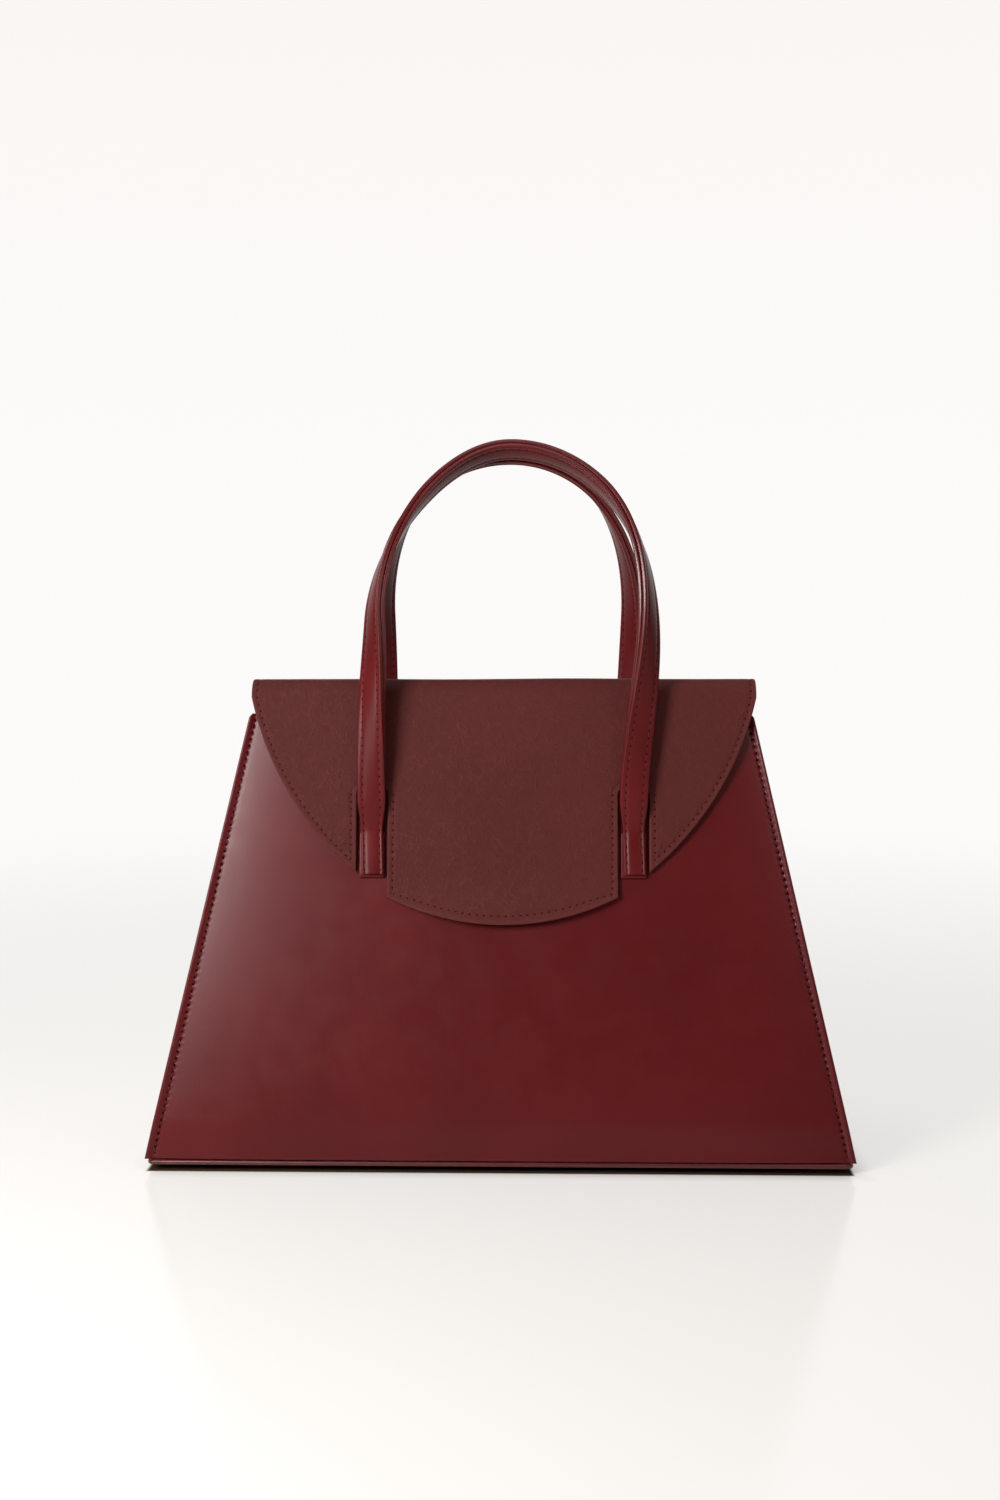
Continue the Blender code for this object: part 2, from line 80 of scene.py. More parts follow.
def halfDepth(z):
    return bag["baseDepth"] / 2 - math.tan(lean) * (z - bag["foot"])


def wallFrame(side):
    # x across, second axis up along the wall, third axis outward
    up = Vector((0, -side * math.sin(lean), math.cos(lean)))
    out = Vector((0, side * math.cos(lean), math.sin(lean)))
    turned = Matrix((Vector((1, 0, 0)), up, out)).transposed().to_4x4()
    turned.translation = Vector((0, side * bag["baseDepth"] / 2, bag["foot"]))
    return turned


def below(drop):
    # distance along a wall from its foot to a point this far below the mouth
    return wallLength - drop / math.cos(lean)


def smooth(share):
    share = min(max(share, 0), 1)
    return share * share * (3 - 2 * share)


# Materials

def addNode(tree, kind, inputs=None, **settings):
    made = tree.nodes.new("ShaderNode" + kind)
    for key, value in settings.items():
        setattr(made, key, value)
    for key, value in (inputs or {}).items():
        made.inputs[key].default_value = value
    return made


def newMaterial(name, color, roughness, metallic=0.0, specular=0.5):
    material = bpy.data.materials.new(name)
    material.use_nodes = True
    shader = material.node_tree.nodes["Principled BSDF"]
    shader.inputs["Base Color"].default_value = (*color, 1)
    shader.inputs["Roughness"].default_value = roughness
    shader.inputs["Metallic"].default_value = metallic
    shader.inputs["Specular IOR Level"].default_value = specular
    return material, material.node_tree, shader


def objectPlace(tree):
    return addNode(tree, "TexCoord").outputs["Object"]


def noiseOf(tree, place, scale, detail=3.0, roughness=0.5):
    made = addNode(tree, "TexNoise", {"Scale": scale, "Detail": detail, "Roughness": roughness})
    tree.links.new(place, made.inputs["Vector"])
    return made


def cellsOf(tree, place, scale, feature="F1"):
    made = addNode(tree, "TexVoronoi", {"Scale": scale}, feature=feature)
    tree.links.new(place, made.inputs["Vector"])
    return made.outputs["Distance"]


def ranged(tree, value, fromLow, fromHigh, toLow, toHigh, kind="SMOOTHSTEP"):
    made = addNode(tree, "MapRange", {"From Min": fromLow, "From Max": fromHigh, "To Min": toLow,
                                      "To Max": toHigh}, interpolation_type=kind)
    tree.links.new(value, made.inputs["Value"])
    return made.outputs["Result"]


def combined(tree, first, second, operation="ADD"):
    made = addNode(tree, "Math", operation=operation)
    for socket, value in zip(made.inputs, (first, second)):
        if isinstance(value, (int, float)):
            socket.default_value = value
        else:
            tree.links.new(value, socket)
    return made.outputs[0]


def mixedColor(tree, factor, first, second):
    made = addNode(tree, "Mix", data_type="RGBA")
    tree.links.new(factor, made.inputs[0])
    for socket, value in ((made.inputs[6], first), (made.inputs[7], second)):
        if isinstance(value, tuple):
            socket.default_value = (*value, 1)
        else:
            tree.links.new(value, socket)
    return made.outputs[2]


def addBump(tree, shader, height, strength, distance, before=None):
    made = addNode(tree, "Bump", {"Strength": strength, "Distance": distance})
    tree.links.new(height, made.inputs["Height"])
    if before is not None:
        tree.links.new(before, made.inputs["Normal"])
    tree.links.new(made.outputs["Normal"], shader.inputs["Normal"])
    return made.outputs["Normal"]


def mixedShader(tree, factor, first, second):
    made = addNode(tree, "MixShader")
    tree.links.new(factor, made.inputs[0])
    tree.links.new(first.outputs[0], made.inputs[1])
    tree.links.new(second.outputs[0], made.inputs[2])
    return made


def splitPlace(tree, place):
    made = addNode(tree, "SeparateXYZ")
    tree.links.new(place, made.inputs[0])
    return made.outputs


def shaded(color, share):
    return tuple(channel * share for channel in color)


def clouded(tree, cloud, dye, low, high):
    # the dye lies a little darker and lighter in soft patches
    tone = ranged(tree, cloud, 0.35, 0.65, 0, 1)
    return mixedColor(tree, tone, shaded(dye, low), shaded(dye, high))


def bodyLeather():
    # smooth dyed calf: a fine even grain and a soft satin finish
    dye = (0.073, 0.0046, 0.0060)
    material, tree, shader = newMaterial("bodyLeather", dye, 0.35, specular=0.20)
    place = objectPlace(tree)
    color = clouded(tree, noiseOf(tree, place, 14, 4).outputs["Fac"], dye, 0.93, 1.07)
    grain = noiseOf(tree, place, 1500, 2).outputs["Fac"]
    pores = cellsOf(tree, place, 1100)
    height = combined(tree, ranged(tree, pores, 0, 0.6, 0, 1), grain)
    addBump(tree, shader, height, 0.06, 0.00022)
    patchy = noiseOf(tree, place, 90, 3).outputs["Fac"]
    tree.links.new(color, shader.inputs["Base Color"])
    tree.links.new(ranged(tree, patchy, 0.3, 0.7, 0.32, 0.37), shader.inputs["Roughness"])
    return material


def flapLeather():
    # matte leather embossed with a crackle of short broken creases, paler at its cut edge, with
    # painted highlights on the crease ridges, painted shade to the left and painted light to the
    # right
    dye = (0.066, 0.0119, 0.0106)
    material, tree, shader = newMaterial("flapLeather", dye, 0.62, specular=0.10)
    shader.inputs["Sheen Weight"].default_value = 0.08
    shader.inputs["Sheen Roughness"].default_value = 0.30
    shader.inputs["Sheen Tint"].default_value = (1.0, 0.62, 0.56, 1)
    place = objectPlace(tree)
    warp = noiseOf(tree, place, 210, 2)
    centred = addNode(tree, "VectorMath", {1: (0.5, 0.5, 0.5)}, operation="SUBTRACT")
    tree.links.new(warp.outputs["Color"], centred.inputs[0])
    bent = addNode(tree, "VectorMath", {"Scale": 0.0062}, operation="SCALE")
    tree.links.new(centred.outputs[0], bent.inputs[0])
    moved = addNode(tree, "VectorMath", operation="ADD")
    tree.links.new(place, moved.inputs[0])
    tree.links.new(bent.outputs[0], moved.inputs[1])
    nets = []
    for scale, cut, wide in ((150, 0.49, 0.07), (270, 0.55, 0.09)):
        ridge = cellsOf(tree, moved.outputs[0], scale, "DISTANCE_TO_EDGE")
        line = ranged(tree, ridge, 0, wide, 1, 0)
        patches = noiseOf(tree, place, scale * 0.8, 1).outputs["Fac"]
        kept = ranged(tree, patches, cut - 0.04, cut + 0.04, 0, 1)
        nets.append(combined(tree, line, kept, "MULTIPLY"))
    across = splitPlace(tree, place)["X"]
    creases = combined(tree, nets[0], nets[1], "MAXIMUM")
    # the creases are strongest on the left, where the lamp catches them
    creases = combined(tree, creases, ranged(tree, across, -0.10, 0.08, 1, 0.42), "MULTIPLY")
    grain = noiseOf(tree, place, 1300, 3).outputs["Fac"]
    pebbles = cellsOf(tree, place, 800)
    fine = combined(tree, grain, ranged(tree, pebbles, 0, 0.6, 0, 0.7), "ADD")
    pucker = noiseOf(tree, moved.outputs[0], 330, 2).outputs["Fac"]
    soft = addBump(tree, shader, pucker, 0.24, 0.0009)
    soft = addBump(tree, shader, creases, 0.42, 0.0003, soft)
    addBump(tree, shader, fine, 0.22, 0.0003, soft)
    color = clouded(tree, noiseOf(tree, place, 16, 4).outputs["Fac"], dye, 0.94, 1.06)
    color = mixedColor(tree, ranged(tree, pucker, 0.35, 0.65, 0, 0.5), color, shaded(dye, 0.86))
    # painted highlight: the crease ridges are drawn lighter, most on the left where the lamp falls
    color = mixedColor(tree, ranged(tree, creases, 0, 1, 0, 0.36), color, (0.100, 0.0255, 0.0228))
    rim = addNode(tree, "Attribute", attribute_name="rim").outputs["Fac"]
    color = mixedColor(tree, rim, color, (0.080, 0.0175, 0.0155))
    # painted shade and light: the dye is drawn darker to the left and lighter to the right, set
    # against the lamp from the left
    fade = addNode(tree, "Mix", data_type="RGBA", blend_type="MULTIPLY")
    fade.inputs[0].default_value = 1
    tree.links.new(color, fade.inputs[6])
    side = ranged(tree, across, -0.11, 0.11, 0, 1, "LINEAR")
    tree.links.new(mixedColor(tree, side, (0.85, 0.85, 0.85), (1.06, 1.06, 1.06)), fade.inputs[7])
    tree.links.new(fade.outputs[2], shader.inputs["Base Color"])
    return material


def strapLeather():
    dye = (0.080, 0.0054, 0.0062)
    material, tree, shader = newMaterial("strapLeather", dye, 0.34, specular=0.13)
    place = objectPlace(tree)
    cloud = noiseOf(tree, place, 35, 3).outputs["Fac"]
    color = clouded(tree, cloud, dye, 0.9, 1.08)
    grain = noiseOf(tree, place, 1700, 2).outputs["Fac"]
    addBump(tree, shader, grain, 0.08, 0.0002)
    tree.links.new(color, shader.inputs["Base Color"])
    tree.links.new(ranged(tree, cloud, 0.3, 0.7, 0.31, 0.38), shader.inputs["Roughness"])
    return material


def edgePaint():
    # the sealed cut edges: a thick glossy paint that wears lighter on its ridge
    dye = (0.062, 0.0062, 0.0062)
    material, tree, shader = newMaterial("edgePaint", dye, 0.34, specular=0.45)
    place = objectPlace(tree)
    wear = noiseOf(tree, place, 90, 2).outputs["Fac"]
    color = mixedColor(tree, ranged(tree, wear, 0.40, 0.75, 0, 1), dye, shaded(dye, 1.25))
    addBump(tree, shader, wear, 0.08, 0.0003)
    tree.links.new(color, shader.inputs["Base Color"])
    return material


def sewingThread():
    dye = (0.085, 0.012, 0.012)
    material, tree, shader = newMaterial("sewingThread", dye, 0.6, specular=0.15)
    place = objectPlace(tree)
    twist = noiseOf(tree, place, 2600, 2).outputs["Fac"]
    color = mixedColor(tree, twist, shaded(dye, 0.75), shaded(dye, 1.25))
    addBump(tree, shader, twist, 0.5, 0.0002)
    tree.links.new(color, shader.inputs["Base Color"])
    return material


# painted shade: a flat dark bead laid on the leather stands in for the shadow inside each needle
# hole
def needleHoleShade():
    dye = (0.026, 0.0018, 0.0024)
    material, tree, shader = newMaterial("needleHoleShade", dye, 0.9, specular=0)
    place = objectPlace(tree)
    color = mixedColor(tree, noiseOf(tree, place, 900).outputs["Fac"], dye, shaded(dye, 1.6))
    tree.links.new(color, shader.inputs["Base Color"])
    return material


def liningTwill():
    # a close weave: two sets of threads laid over walls, sides and floor alike
    dye = (0.155, 0.060, 0.048)
    material, tree, shader = newMaterial("liningTwill", dye, 0.82, specular=0.25)
    shader.inputs["Sheen Weight"].default_value = 0.12
    place = objectPlace(tree)
    x, y, z = splitPlace(tree, place)
    across = combined(tree, x, y)
    along = combined(tree, z, combined(tree, x, y, "SUBTRACT"))
    wander = combined(tree, noiseOf(tree, place, 240, 2).outputs["Fac"], 0.9, "MULTIPLY")
    threads = []
    for value, pitch in ((across, 0.00062), (along, 0.00085)):
        phase = combined(tree, combined(tree, value, math.tau / pitch, "MULTIPLY"), wander)
        wave = combined(tree, phase, 0, "SINE")
        threads.append(ranged(tree, wave, -1, 1, 0, 1, "LINEAR"))
    weave = combined(tree, threads[0], threads[1], "MULTIPLY")
    slub = noiseOf(tree, place, 60, 4).outputs["Fac"]
    color = mixedColor(tree, weave, shaded(dye, 0.75), shaded(dye, 1.3))
    color = mixedColor(tree, ranged(tree, slub, 0.4, 0.8, 0, 0.4), color, shaded(dye, 0.8))
    tree.links.new(color, shader.inputs["Base Color"])
    addBump(tree, shader, weave, 0.35, 0.0003)
    return material


def stiffenerBoard():
    dye = (0.42, 0.33, 0.23)
    material, tree, shader = newMaterial("stiffenerBoard", dye, 0.9, specular=0.2)
    place = objectPlace(tree)
    fibre = noiseOf(tree, place, 420, 5, 0.7).outputs["Fac"]
    color = mixedColor(tree, fibre, shaded(dye, 0.8), shaded(dye, 1.15))
    addBump(tree, shader, fibre, 0.3, 0.0003)
    tree.links.new(color, shader.inputs["Base Color"])
    return material


def plated(name, color, roughness):
    material, tree, shader = newMaterial(name, color, roughness, metallic=1.0)
    place = objectPlace(tree)
    haze = noiseOf(tree, place, 600, 4).outputs["Fac"]
    tree.links.new(ranged(tree, haze, 0.3, 0.7, roughness * 0.8, roughness * 1.25),
                   shader.inputs["Roughness"])
    addBump(tree, shader, haze, 0.04, 0.0001)
    return material


body = bodyLeather()
matte = flapLeather()
gloss = strapLeather()
paint = edgePaint()
thread = sewingThread()
holeShade = needleHoleShade()
twill = liningTwill()
board = stiffenerBoard()
nickel = plated("nickelPlate", (0.66, 0.63, 0.59), 0.24)
steel = plated("washerSteel", (0.46, 0.46, 0.47), 0.38)
print("materials made")


# Sheets and rims

def edgeDrop(distance, radius):
    # how far a rounded edge has fallen away from the face, this far inside the outline
    if distance >= radius:
        return 0
    return radius - math.sqrt(radius ** 2 - (radius - max(distance, 0)) ** 2)


def edgeSteps(radius):
    return [radius * share for share in (0, 0.1, 0.4, 1)]


def markRim(mesh, backs):
    # the faces between a sheet's front and its back take the second material
    for face in mesh.faces:
        face.material_index = int(0 < sum(vert in backs for vert in face.verts) < len(face.verts))


def gridSheet(columns, rows, place):
    # a closed sheet: place(i, j, back) puts the corners of its front and of its back
    mesh = bmesh.new()
    bmesh.ops.create_grid(mesh, x_segments=columns, y_segments=rows, size=1)
    column = mesh.verts.layers.int.new("column")
    row = mesh.verts.layers.int.new("row")
    for vert in mesh.verts:
        vert[column] = round((vert.co.x + 1) / 2 * columns)
        vert[row] = round((vert.co.y + 1) / 2 * rows)
    made = bmesh.ops.extrude_face_region(mesh, geom=mesh.faces[:])["geom"]
    backs = {item for item in made if isinstance(item, bmesh.types.BMVert)}
    for vert in mesh.verts:
        vert.co = place(vert[column], vert[row], vert in backs)
    markRim(mesh, backs)
    bmesh.ops.recalc_face_normals(mesh, faces=mesh.faces[:])
    mesh.verts.layers.int.remove(row)
    mesh.verts.layers.int.remove(mesh.verts.layers.int["column"])
    return mesh


def makePiece(name, mesh, materials, nodes=(), sharp=38):
    data = bpy.data.meshes.new(name)
    mesh.to_mesh(data)
    mesh.free()
    for material in materials:
        data.materials.append(material)
    data.shade_smooth()
    data.set_sharp_from_angle(angle=math.radians(sharp))
    piece = bpy.data.objects.new(name, data)
    bpy.context.scene.collection.objects.link(piece)
    if nodes:
        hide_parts(*nodes)
    return piece


# Sewing

sewing = {
    "pitch": 0.0035,
    "length": 0.0024,
    "width": 0.00050,
    "height": 0.00028,
    "slant": 0.10,
    "prick": (0.00048, 0.00060),    # half a needle hole, across its row and along it
}


def sewRow(seam, points, outs, pitch=sewing["pitch"], prick=sewing["prick"]):
    # places threads, and flat dark beads of painted shade for the needle holes, along a row of
    # points, each with its way out of the leather
    lengths = [0]
    for first, second in zip(points, points[1:]):
        lengths.append(lengths[-1] + (second - first).length)
    total = lengths[-1]
    count = max(1, round(total / pitch))

    def at(distance):
        index = min(max(bisect.bisect_left(lengths, distance) - 1, 0), len(lengths) - 2)
        share = (distance - lengths[index]) / max(lengths[index + 1] - lengths[index], 1e-9)
        out = outs[index].lerp(outs[index + 1], share).normalized()
        return points[index].lerp(points[index + 1], share), out

    for step in range(count):
        start, _ = at(total * step / count)
        end, _ = at(total * (step + 1) / count)
        middle, out = at(total * (step + 0.5) / count)
        along = (end - start).normalized()
        along = (along + out.cross(along).normalized() * sewing["slant"]).normalized()
        across = out.cross(along).normalized()
        turned = Matrix((across, out, along)).transposed().to_4x4()
        turned.translation = middle
        size = (sewing["width"] / 2, sewing["height"] / 2, sewing["length"] / 2, 1)
        seam["threads"].append(turned @ Matrix.Diagonal(size))
    for step in range(count + 1):
        distance = total * step / count
        place, out = at(distance)
        before, after = at(max(distance - 0.0005, 0))[0], at(min(distance + 0.0005, total))[0]
        along = (after - before).normalized()
        across = out.cross(along).normalized()
        turned = Matrix((across, along, out)).transposed().to_4x4()
        turned.translation = place
        seam["holeShades"].append(turned @ Matrix.Diagonal((*prick, prick[0] * 0.3, 1)))


def newSeam():
    return {"threads": [], "holeShades": []}


def seamPiece(name, seam):
    # every stitch is a copy of one small bead, every needle hole a copy of one flat dark bead,
    # painted shade standing in for the hole
    places, faces, kinds = [], [], []
    for kind, part in enumerate(("threads", "holeShades")):
        bead = bmesh.new()
        if part == "threads":
            bmesh.ops.create_uvsphere(bead, u_segments=6, v_segments=4, radius=1)
        else:
            bmesh.ops.create_icosphere(bead, subdivisions=1, radius=1)
        corners = [vert.co.copy() for vert in bead.verts]
        loops = [[vert.index for vert in face.verts] for face in bead.faces]
        bead.free()
        for matrix in seam[part]:
            start = len(places)
            places += [matrix @ corner for corner in corners]
            faces += [[start + index for index in loop] for loop in loops]
            kinds += [kind] * len(loops)
    data = bpy.data.meshes.new(name)
    data.from_pydata(places, [], faces)
    data.polygons.foreach_set("material_index", kinds)
    for material in (thread, holeShade):
        data.materials.append(material)
    data.shade_smooth()
    piece = bpy.data.objects.new(name, data)
    bpy.context.scene.collection.objects.link(piece)
    return piece


# Walls

wall = {
    "leather": 0.0016,
    "proud": (0.0014, 0.0006),  # how far its side edges stand past the gussets, low and high
    "edgeRound": 0.00075,
    "corner": 0.0022,
    "row": 0.0026,          # seam stitches, from the gussets' edge
    "margin": 0.003,        # and from the ends of their row
    "pitch": 0.0034,
    "prick": (0.00062, 0.00088),
    "flange": 0.0005,       # how far the seam allowance stands up at its edge
    "groove": 0.0005,
    "puff": 0.0016,         # how far the leather rises inside the seam
    "puffReach": 0.018,
    "bulge": 0.0022,
    "snapReach": 0.020,     # the leather is drawn flat around the snap
    "roll": 0.0014,         # how far the wall tucks in at its foot
    "rollReach": 0.020,
    "pinch": 0.00030,       # how far each stitch draws the leather in
    "pinchReach": 0.0009,
    "columns": (-0.0022, -0.0014, -0.0008, -0.0004, 0, 0.0004, 0.0008, 0.0015, 0.0027, 0.0044,
                0.0068, 0.0105, 0.0155, 0.0225, 0.0310, 0.0410),    # from the row inwards
    "middleColumns": 26,
    "rowsPerStitch": 4,
}


def wallRelief(x, length):
    # how far the soft wall stands out from its flat pattern
    z = bag["foot"] + length * math.cos(lean)
    fromEdge = halfWidth(z) - abs(x)
    row = wall["row"]
    if fromEdge < row:
        rise = wall["flange"] - (wall["flange"] + wall["groove"]) * smooth(fromEdge / row)
    else:
        reach = 1 - math.exp(-(fromEdge - row) / wall["puffReach"])
        rise = (wall["groove"] + wall["puff"]) * reach - wall["groove"]
    height = min(max(length / wallLength, 0), 1)
    spread = 1 - (abs(x) / (halfWidth(z) - row)) ** 2
    full = 9.48     # brings the bulge to its whole depth, a quarter of the way up
    bulge = wall["bulge"] * spread * height * (1 - height) ** 3 * full
    toSnap = math.hypot(x - bag["shift"], length - below(bag["snapDrop"]))
    free = 1 - math.exp(-(toSnap / wall["snapReach"]) ** 2)
    tuck = wall["roll"] * (1 - smooth(length / wall["rollReach"]))
    pull = math.exp(-((fromEdge - row) / wall["pinchReach"]) ** 2)
    span = wallLength - 2 * wall["margin"]
    phase = math.cos(math.tau * (length - wall["margin"]) * round(span / wall["pitch"]) / span)
    if fromEdge < row:
        free = 1
    return (rise + bulge) * free - tuck - wall["pinch"] * pull * (1 + phase)


def wallPiece(side, name):
    radius = wall["edgeRound"]
    rim = len(edgeSteps(radius))
    near = edgeSteps(radius) + [wall["row"] + step for step in wall["columns"]]
    edges = len(near) - 1
    columns = 2 * edges + wall["middleColumns"]
    start = wall["leather"] * math.tan(lean)
    inner = round((wallLength - start) / wall["pitch"] * wall["rowsPerStitch"])
    ends = edgeSteps(radius)
    levels = [start + step for step in ends]
    span = wallLength - start - 2 * radius
    levels += [start + radius + span * step / inner for step in range(1, inner)]
    levels += [wallLength - step for step in reversed(ends)]
    turned = wallFrame(side)

    def place(i, j, back):
        length = levels[j]
        low, high = wall["proud"]
        proud = low + (high - low) * length / wallLength
        half = halfWidth(bag["foot"] + length * math.cos(lean)) + proud
        half -= edgeDrop(wallLength - length, wall["corner"])
        index = min(i, columns - i)
        if index <= edges:
            x = half - near[index] - (proud if index >= rim else 0)
            x = -x if index == i else x
        else:
            share = (i - edges) / wall["middleColumns"]
            x = (half - near[-1] - proud) * (2 * share - 1)
        depth = wallRelief(x, length)
        drop = edgeDrop(min(half - abs(x), length - start, wallLength - length), radius)
        depth += drop - wall["leather"] if back else -drop
        return turned @ Vector((x, length, depth))

    mesh = gridSheet(columns, len(levels) - 1, place)
    piece = makePiece(name + "Wall", mesh, [body, paint], [name + "_panel"])
    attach(piece, "root")


def seamStitches(side, name):
    seam = newSeam()
    turned = wallFrame(side)
    out = turned.to_3x3() @ Vector((0, 0, 1))
    margin = wall["margin"]
    steps = 120
    for sign in (-1, 1):
        points = []
        for step in range(steps + 1):
            length = margin + (wallLength - 2 * margin) * step / steps
            x = halfWidth(bag["foot"] + length * math.cos(lean)) - wall["row"]
            depth = wallRelief(x, length) + wall["pinch"]
            points.append(turned @ Vector((sign * x, length, depth)))
        sewRow(seam, points, [out] * len(points), wall["pitch"], wall["prick"])
    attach(seamPiece(name + "SeamStitches", seam), "root")


# Gussets

gusset = {
    "leather": 0.0014,
    "edgeRound": 0.0005,
    "fillet": 0.0022,
    "dip": 0.0030,          # how far a side falls in, at the mouth
    "lowDip": 0.0006,
    "crease": 0.0011,       # the soft fold down its middle
    "creaseReach": 0.006,
    "creaseFoot": 0.25,     # it starts a quarter of the way up
    "creaseGrow": 0.6,
    "inset": 0.0002,        # its edges stay inside those of the walls
    "flats": (0.0016, 0.0024),
    "cornerColumns": 5,
    "webColumns": 20,
    "rows": 96,
}


def gussetDip(y, z):
    height = min(max((z - bag["foot"]) / wallHeight, 0), 1)
    reach = halfDepth(z) - wall["leather"] - gusset["leather"]
    share = min(abs(y) / reach, 1)
    hollow = (gusset["lowDip"] + (gusset["dip"] - gusset["lowDip"]) * height) * (1 - share ** 2)
    grown = smooth((height - gusset["creaseFoot"]) / gusset["creaseGrow"])
    return hollow + gusset["crease"] * grown * math.exp(-(y / gusset["creaseReach"]) ** 2)


def gussetPiece(sign, name):
    radius = gusset["edgeRound"]
    fillet = gusset["fillet"]
    thick = gusset["leather"]
    bend = gusset["cornerColumns"]
    corner = [math.pi / 2 * step / bend for step in range(bend + 1)]
    web = gusset["webColumns"]
    firsts = edgeSteps(radius) + list(gusset["flats"])
    half = len(firsts) + len(corner)
    columns = 2 * half + web - 2
    ends = edgeSteps(radius)
    levels = [bag["foot"] + step for step in ends]
    span = wallHeight - 2 * radius
    rows = gusset["rows"]
    levels += [bag["foot"] + radius + span * step / rows for step in range(1, rows)]
    levels += [bag["mouth"] - step for step in reversed(ends)]

    def place(i, j, back):
        z = levels[j]
        edge = halfWidth(z) - gusset["inset"]
        inner = edge - bag["seam"]
        reach = halfDepth(z) - (wall["leather"] + bag["gap"] + thick) / math.cos(lean)
        mirrored = i > columns / 2
        index = columns - i if mirrored else i
        distance = radius
        if index < len(firsts):
            distance = firsts[index]
            x, y, out = edge - distance, -reach, Vector((0, 1, 0))
        elif index < half:
            angle = corner[index - len(firsts)]
            out = Vector((math.sin(angle), math.cos(angle), 0))
            x = inner + fillet - fillet * math.sin(angle)
            y = -reach + fillet - fillet * math.cos(angle)
        else:
            out = Vector((1, 0, 0))
            x = inner
            y = (fillet - reach) * (1 - 2 * (index - half + 1) / web)
        if mirrored:
            y = -y
            out.y = -out.y
        drop = edgeDrop(min(distance, z - bag["foot"], bag["mouth"] - z), radius)
        point = Vector((x - gussetDip(y, z), y, z)) if index >= half else Vector((x, y, z))
        if len(firsts) <= index < half:
            point.x -= gussetDip(y, z) * smooth((index - len(firsts)) / (len(corner) - 1))
        point -= out * (thick - drop if back else drop)
        point.x *= sign
        return point

    mesh = gridSheet(columns, len(levels) - 1, place)
    piece = makePiece(name + "Gusset", mesh, [body, paint], [name + "_gusset"])
    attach(piece, "root")


# Base and feet

base = {
    "leather": baseHigh.z - baseLow.z,
    "corner": 0.004,
    "edgeRound": 0.0008,
}


def basePiece():
    mesh = bmesh.new()
    middle = (baseLow + baseHigh) / 2
    size = baseHigh - baseLow
    scale = Matrix.Translation(middle) @ Matrix.Diagonal((size.x, size.y, size.z, 1))
    bmesh.ops.create_cube(mesh, size=1, matrix=scale)
    upright = [edge for edge in mesh.edges
               if abs(edge.verts[0].co.z - edge.verts[1].co.z) > size.z / 2]
    bmesh.ops.bevel(mesh, geom=upright, offset=base["corner"], segments=8, profile=0.5,
                    affect="EDGES", material=-1)
    rims = [edge for edge in mesh.edges if abs(edge.verts[0].co.z - edge.verts[1].co.z) < 1e-6]
    rims = [edge for edge in rims if any(len(face.verts) == 4 for face in edge.link_faces)]
    bmesh.ops.bevel(mesh, geom=rims, offset=base["edgeRound"], segments=4, profile=0.5,
                    affect="EDGES", material=-1)
    for face in mesh.faces:
        face.material_index = int(abs(face.normal.z) < 0.9)
    bmesh.ops.recalc_face_normals(mesh, faces=mesh.faces[:])
    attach(makePiece("basePanel", mesh, [body, paint], ["base_panel"]), "root")


def turnedPiece(name, profile, placed, material, nodes, rider):
    # a profile of radius and height, spun round the third axis of its frame
    mesh = bmesh.new()
    points = [mesh.verts.new((radius, 0, height)) for radius, height in profile]
    pairs = list(zip(points, points[1:]))
    if profile[0][0] > 0:
        pairs.append((points[-1], points[0]))
    edges = [mesh.edges.new(pair) for pair in pairs]
    bmesh.ops.spin(mesh, geom=points + edges, cent=(0, 0, 0), axis=(0, 0, 1),
                   angle=math.tau, steps=48, use_merge=True)
    bmesh.ops.remove_doubles(mesh, verts=mesh.verts[:], dist=1e-7)
    bmesh.ops.transform(mesh, matrix=placed, verts=mesh.verts[:])
    bmesh.ops.recalc_face_normals(mesh, faces=mesh.faces[:])
    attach(makePiece(name, mesh, [material], nodes, sharp=50), rider)


def arcOf(middle, radius, start, end, steps):
    # points of a round corner in a turned profile, angles in degrees
    angles = [math.radians(start + (end - start) * step / steps) for step in range(steps + 1)]
    return [(middle[0] + radius * math.cos(a), middle[1] + radius * math.sin(a)) for a in angles]


foot = {
    "radius": 0.0060,
    "flat": 0.0040,
    "stem": 0.0013,
    "washerLip": 0.0002,
}


def feetPieces():
    for place in ("front_left", "front_right", "back_left", "back_right"):
        low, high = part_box("foot_" + place)
        middle = (low + high) / 2
        placed = Matrix.Translation((middle.x, middle.y, 0))
        head = bag["foot"] - base["leather"] - 2 * bag["gap"]
        bend = foot["radius"] - foot["flat"]
        dome = [(0, 0), (foot["flat"] * 0.6, 0)]
        dome += [(foot["flat"] + bend * math.sin(angle), head * 0.8 * (1 - math.cos(angle)))
                 for angle in [math.pi / 2 * step / 8 for step in range(9)]]
        dome += [(foot["radius"], head), (foot["stem"], head), (foot["stem"], high.z), (0, high.z)]
        word = place.title().replace("_", "")
        turnedPiece("foot" + word, dome, placed, nickel, ["foot_" + place], "root")
        ringLow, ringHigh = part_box("foot_washer_" + place)
        outer = (ringHigh.x - ringLow.x) / 2
        inner = foot["stem"] + bag["gap"]
        lip = foot["washerLip"]
        ring = [(inner, ringLow.z), (outer - lip, ringLow.z), (outer, ringLow.z + lip),
                (outer, ringHigh.z - lip), (outer - lip, ringHigh.z), (inner, ringHigh.z)]
        turnedPiece("footWasher" + word, ring, placed, steel,
                    ["foot_washer_" + place], "root")


# Inside

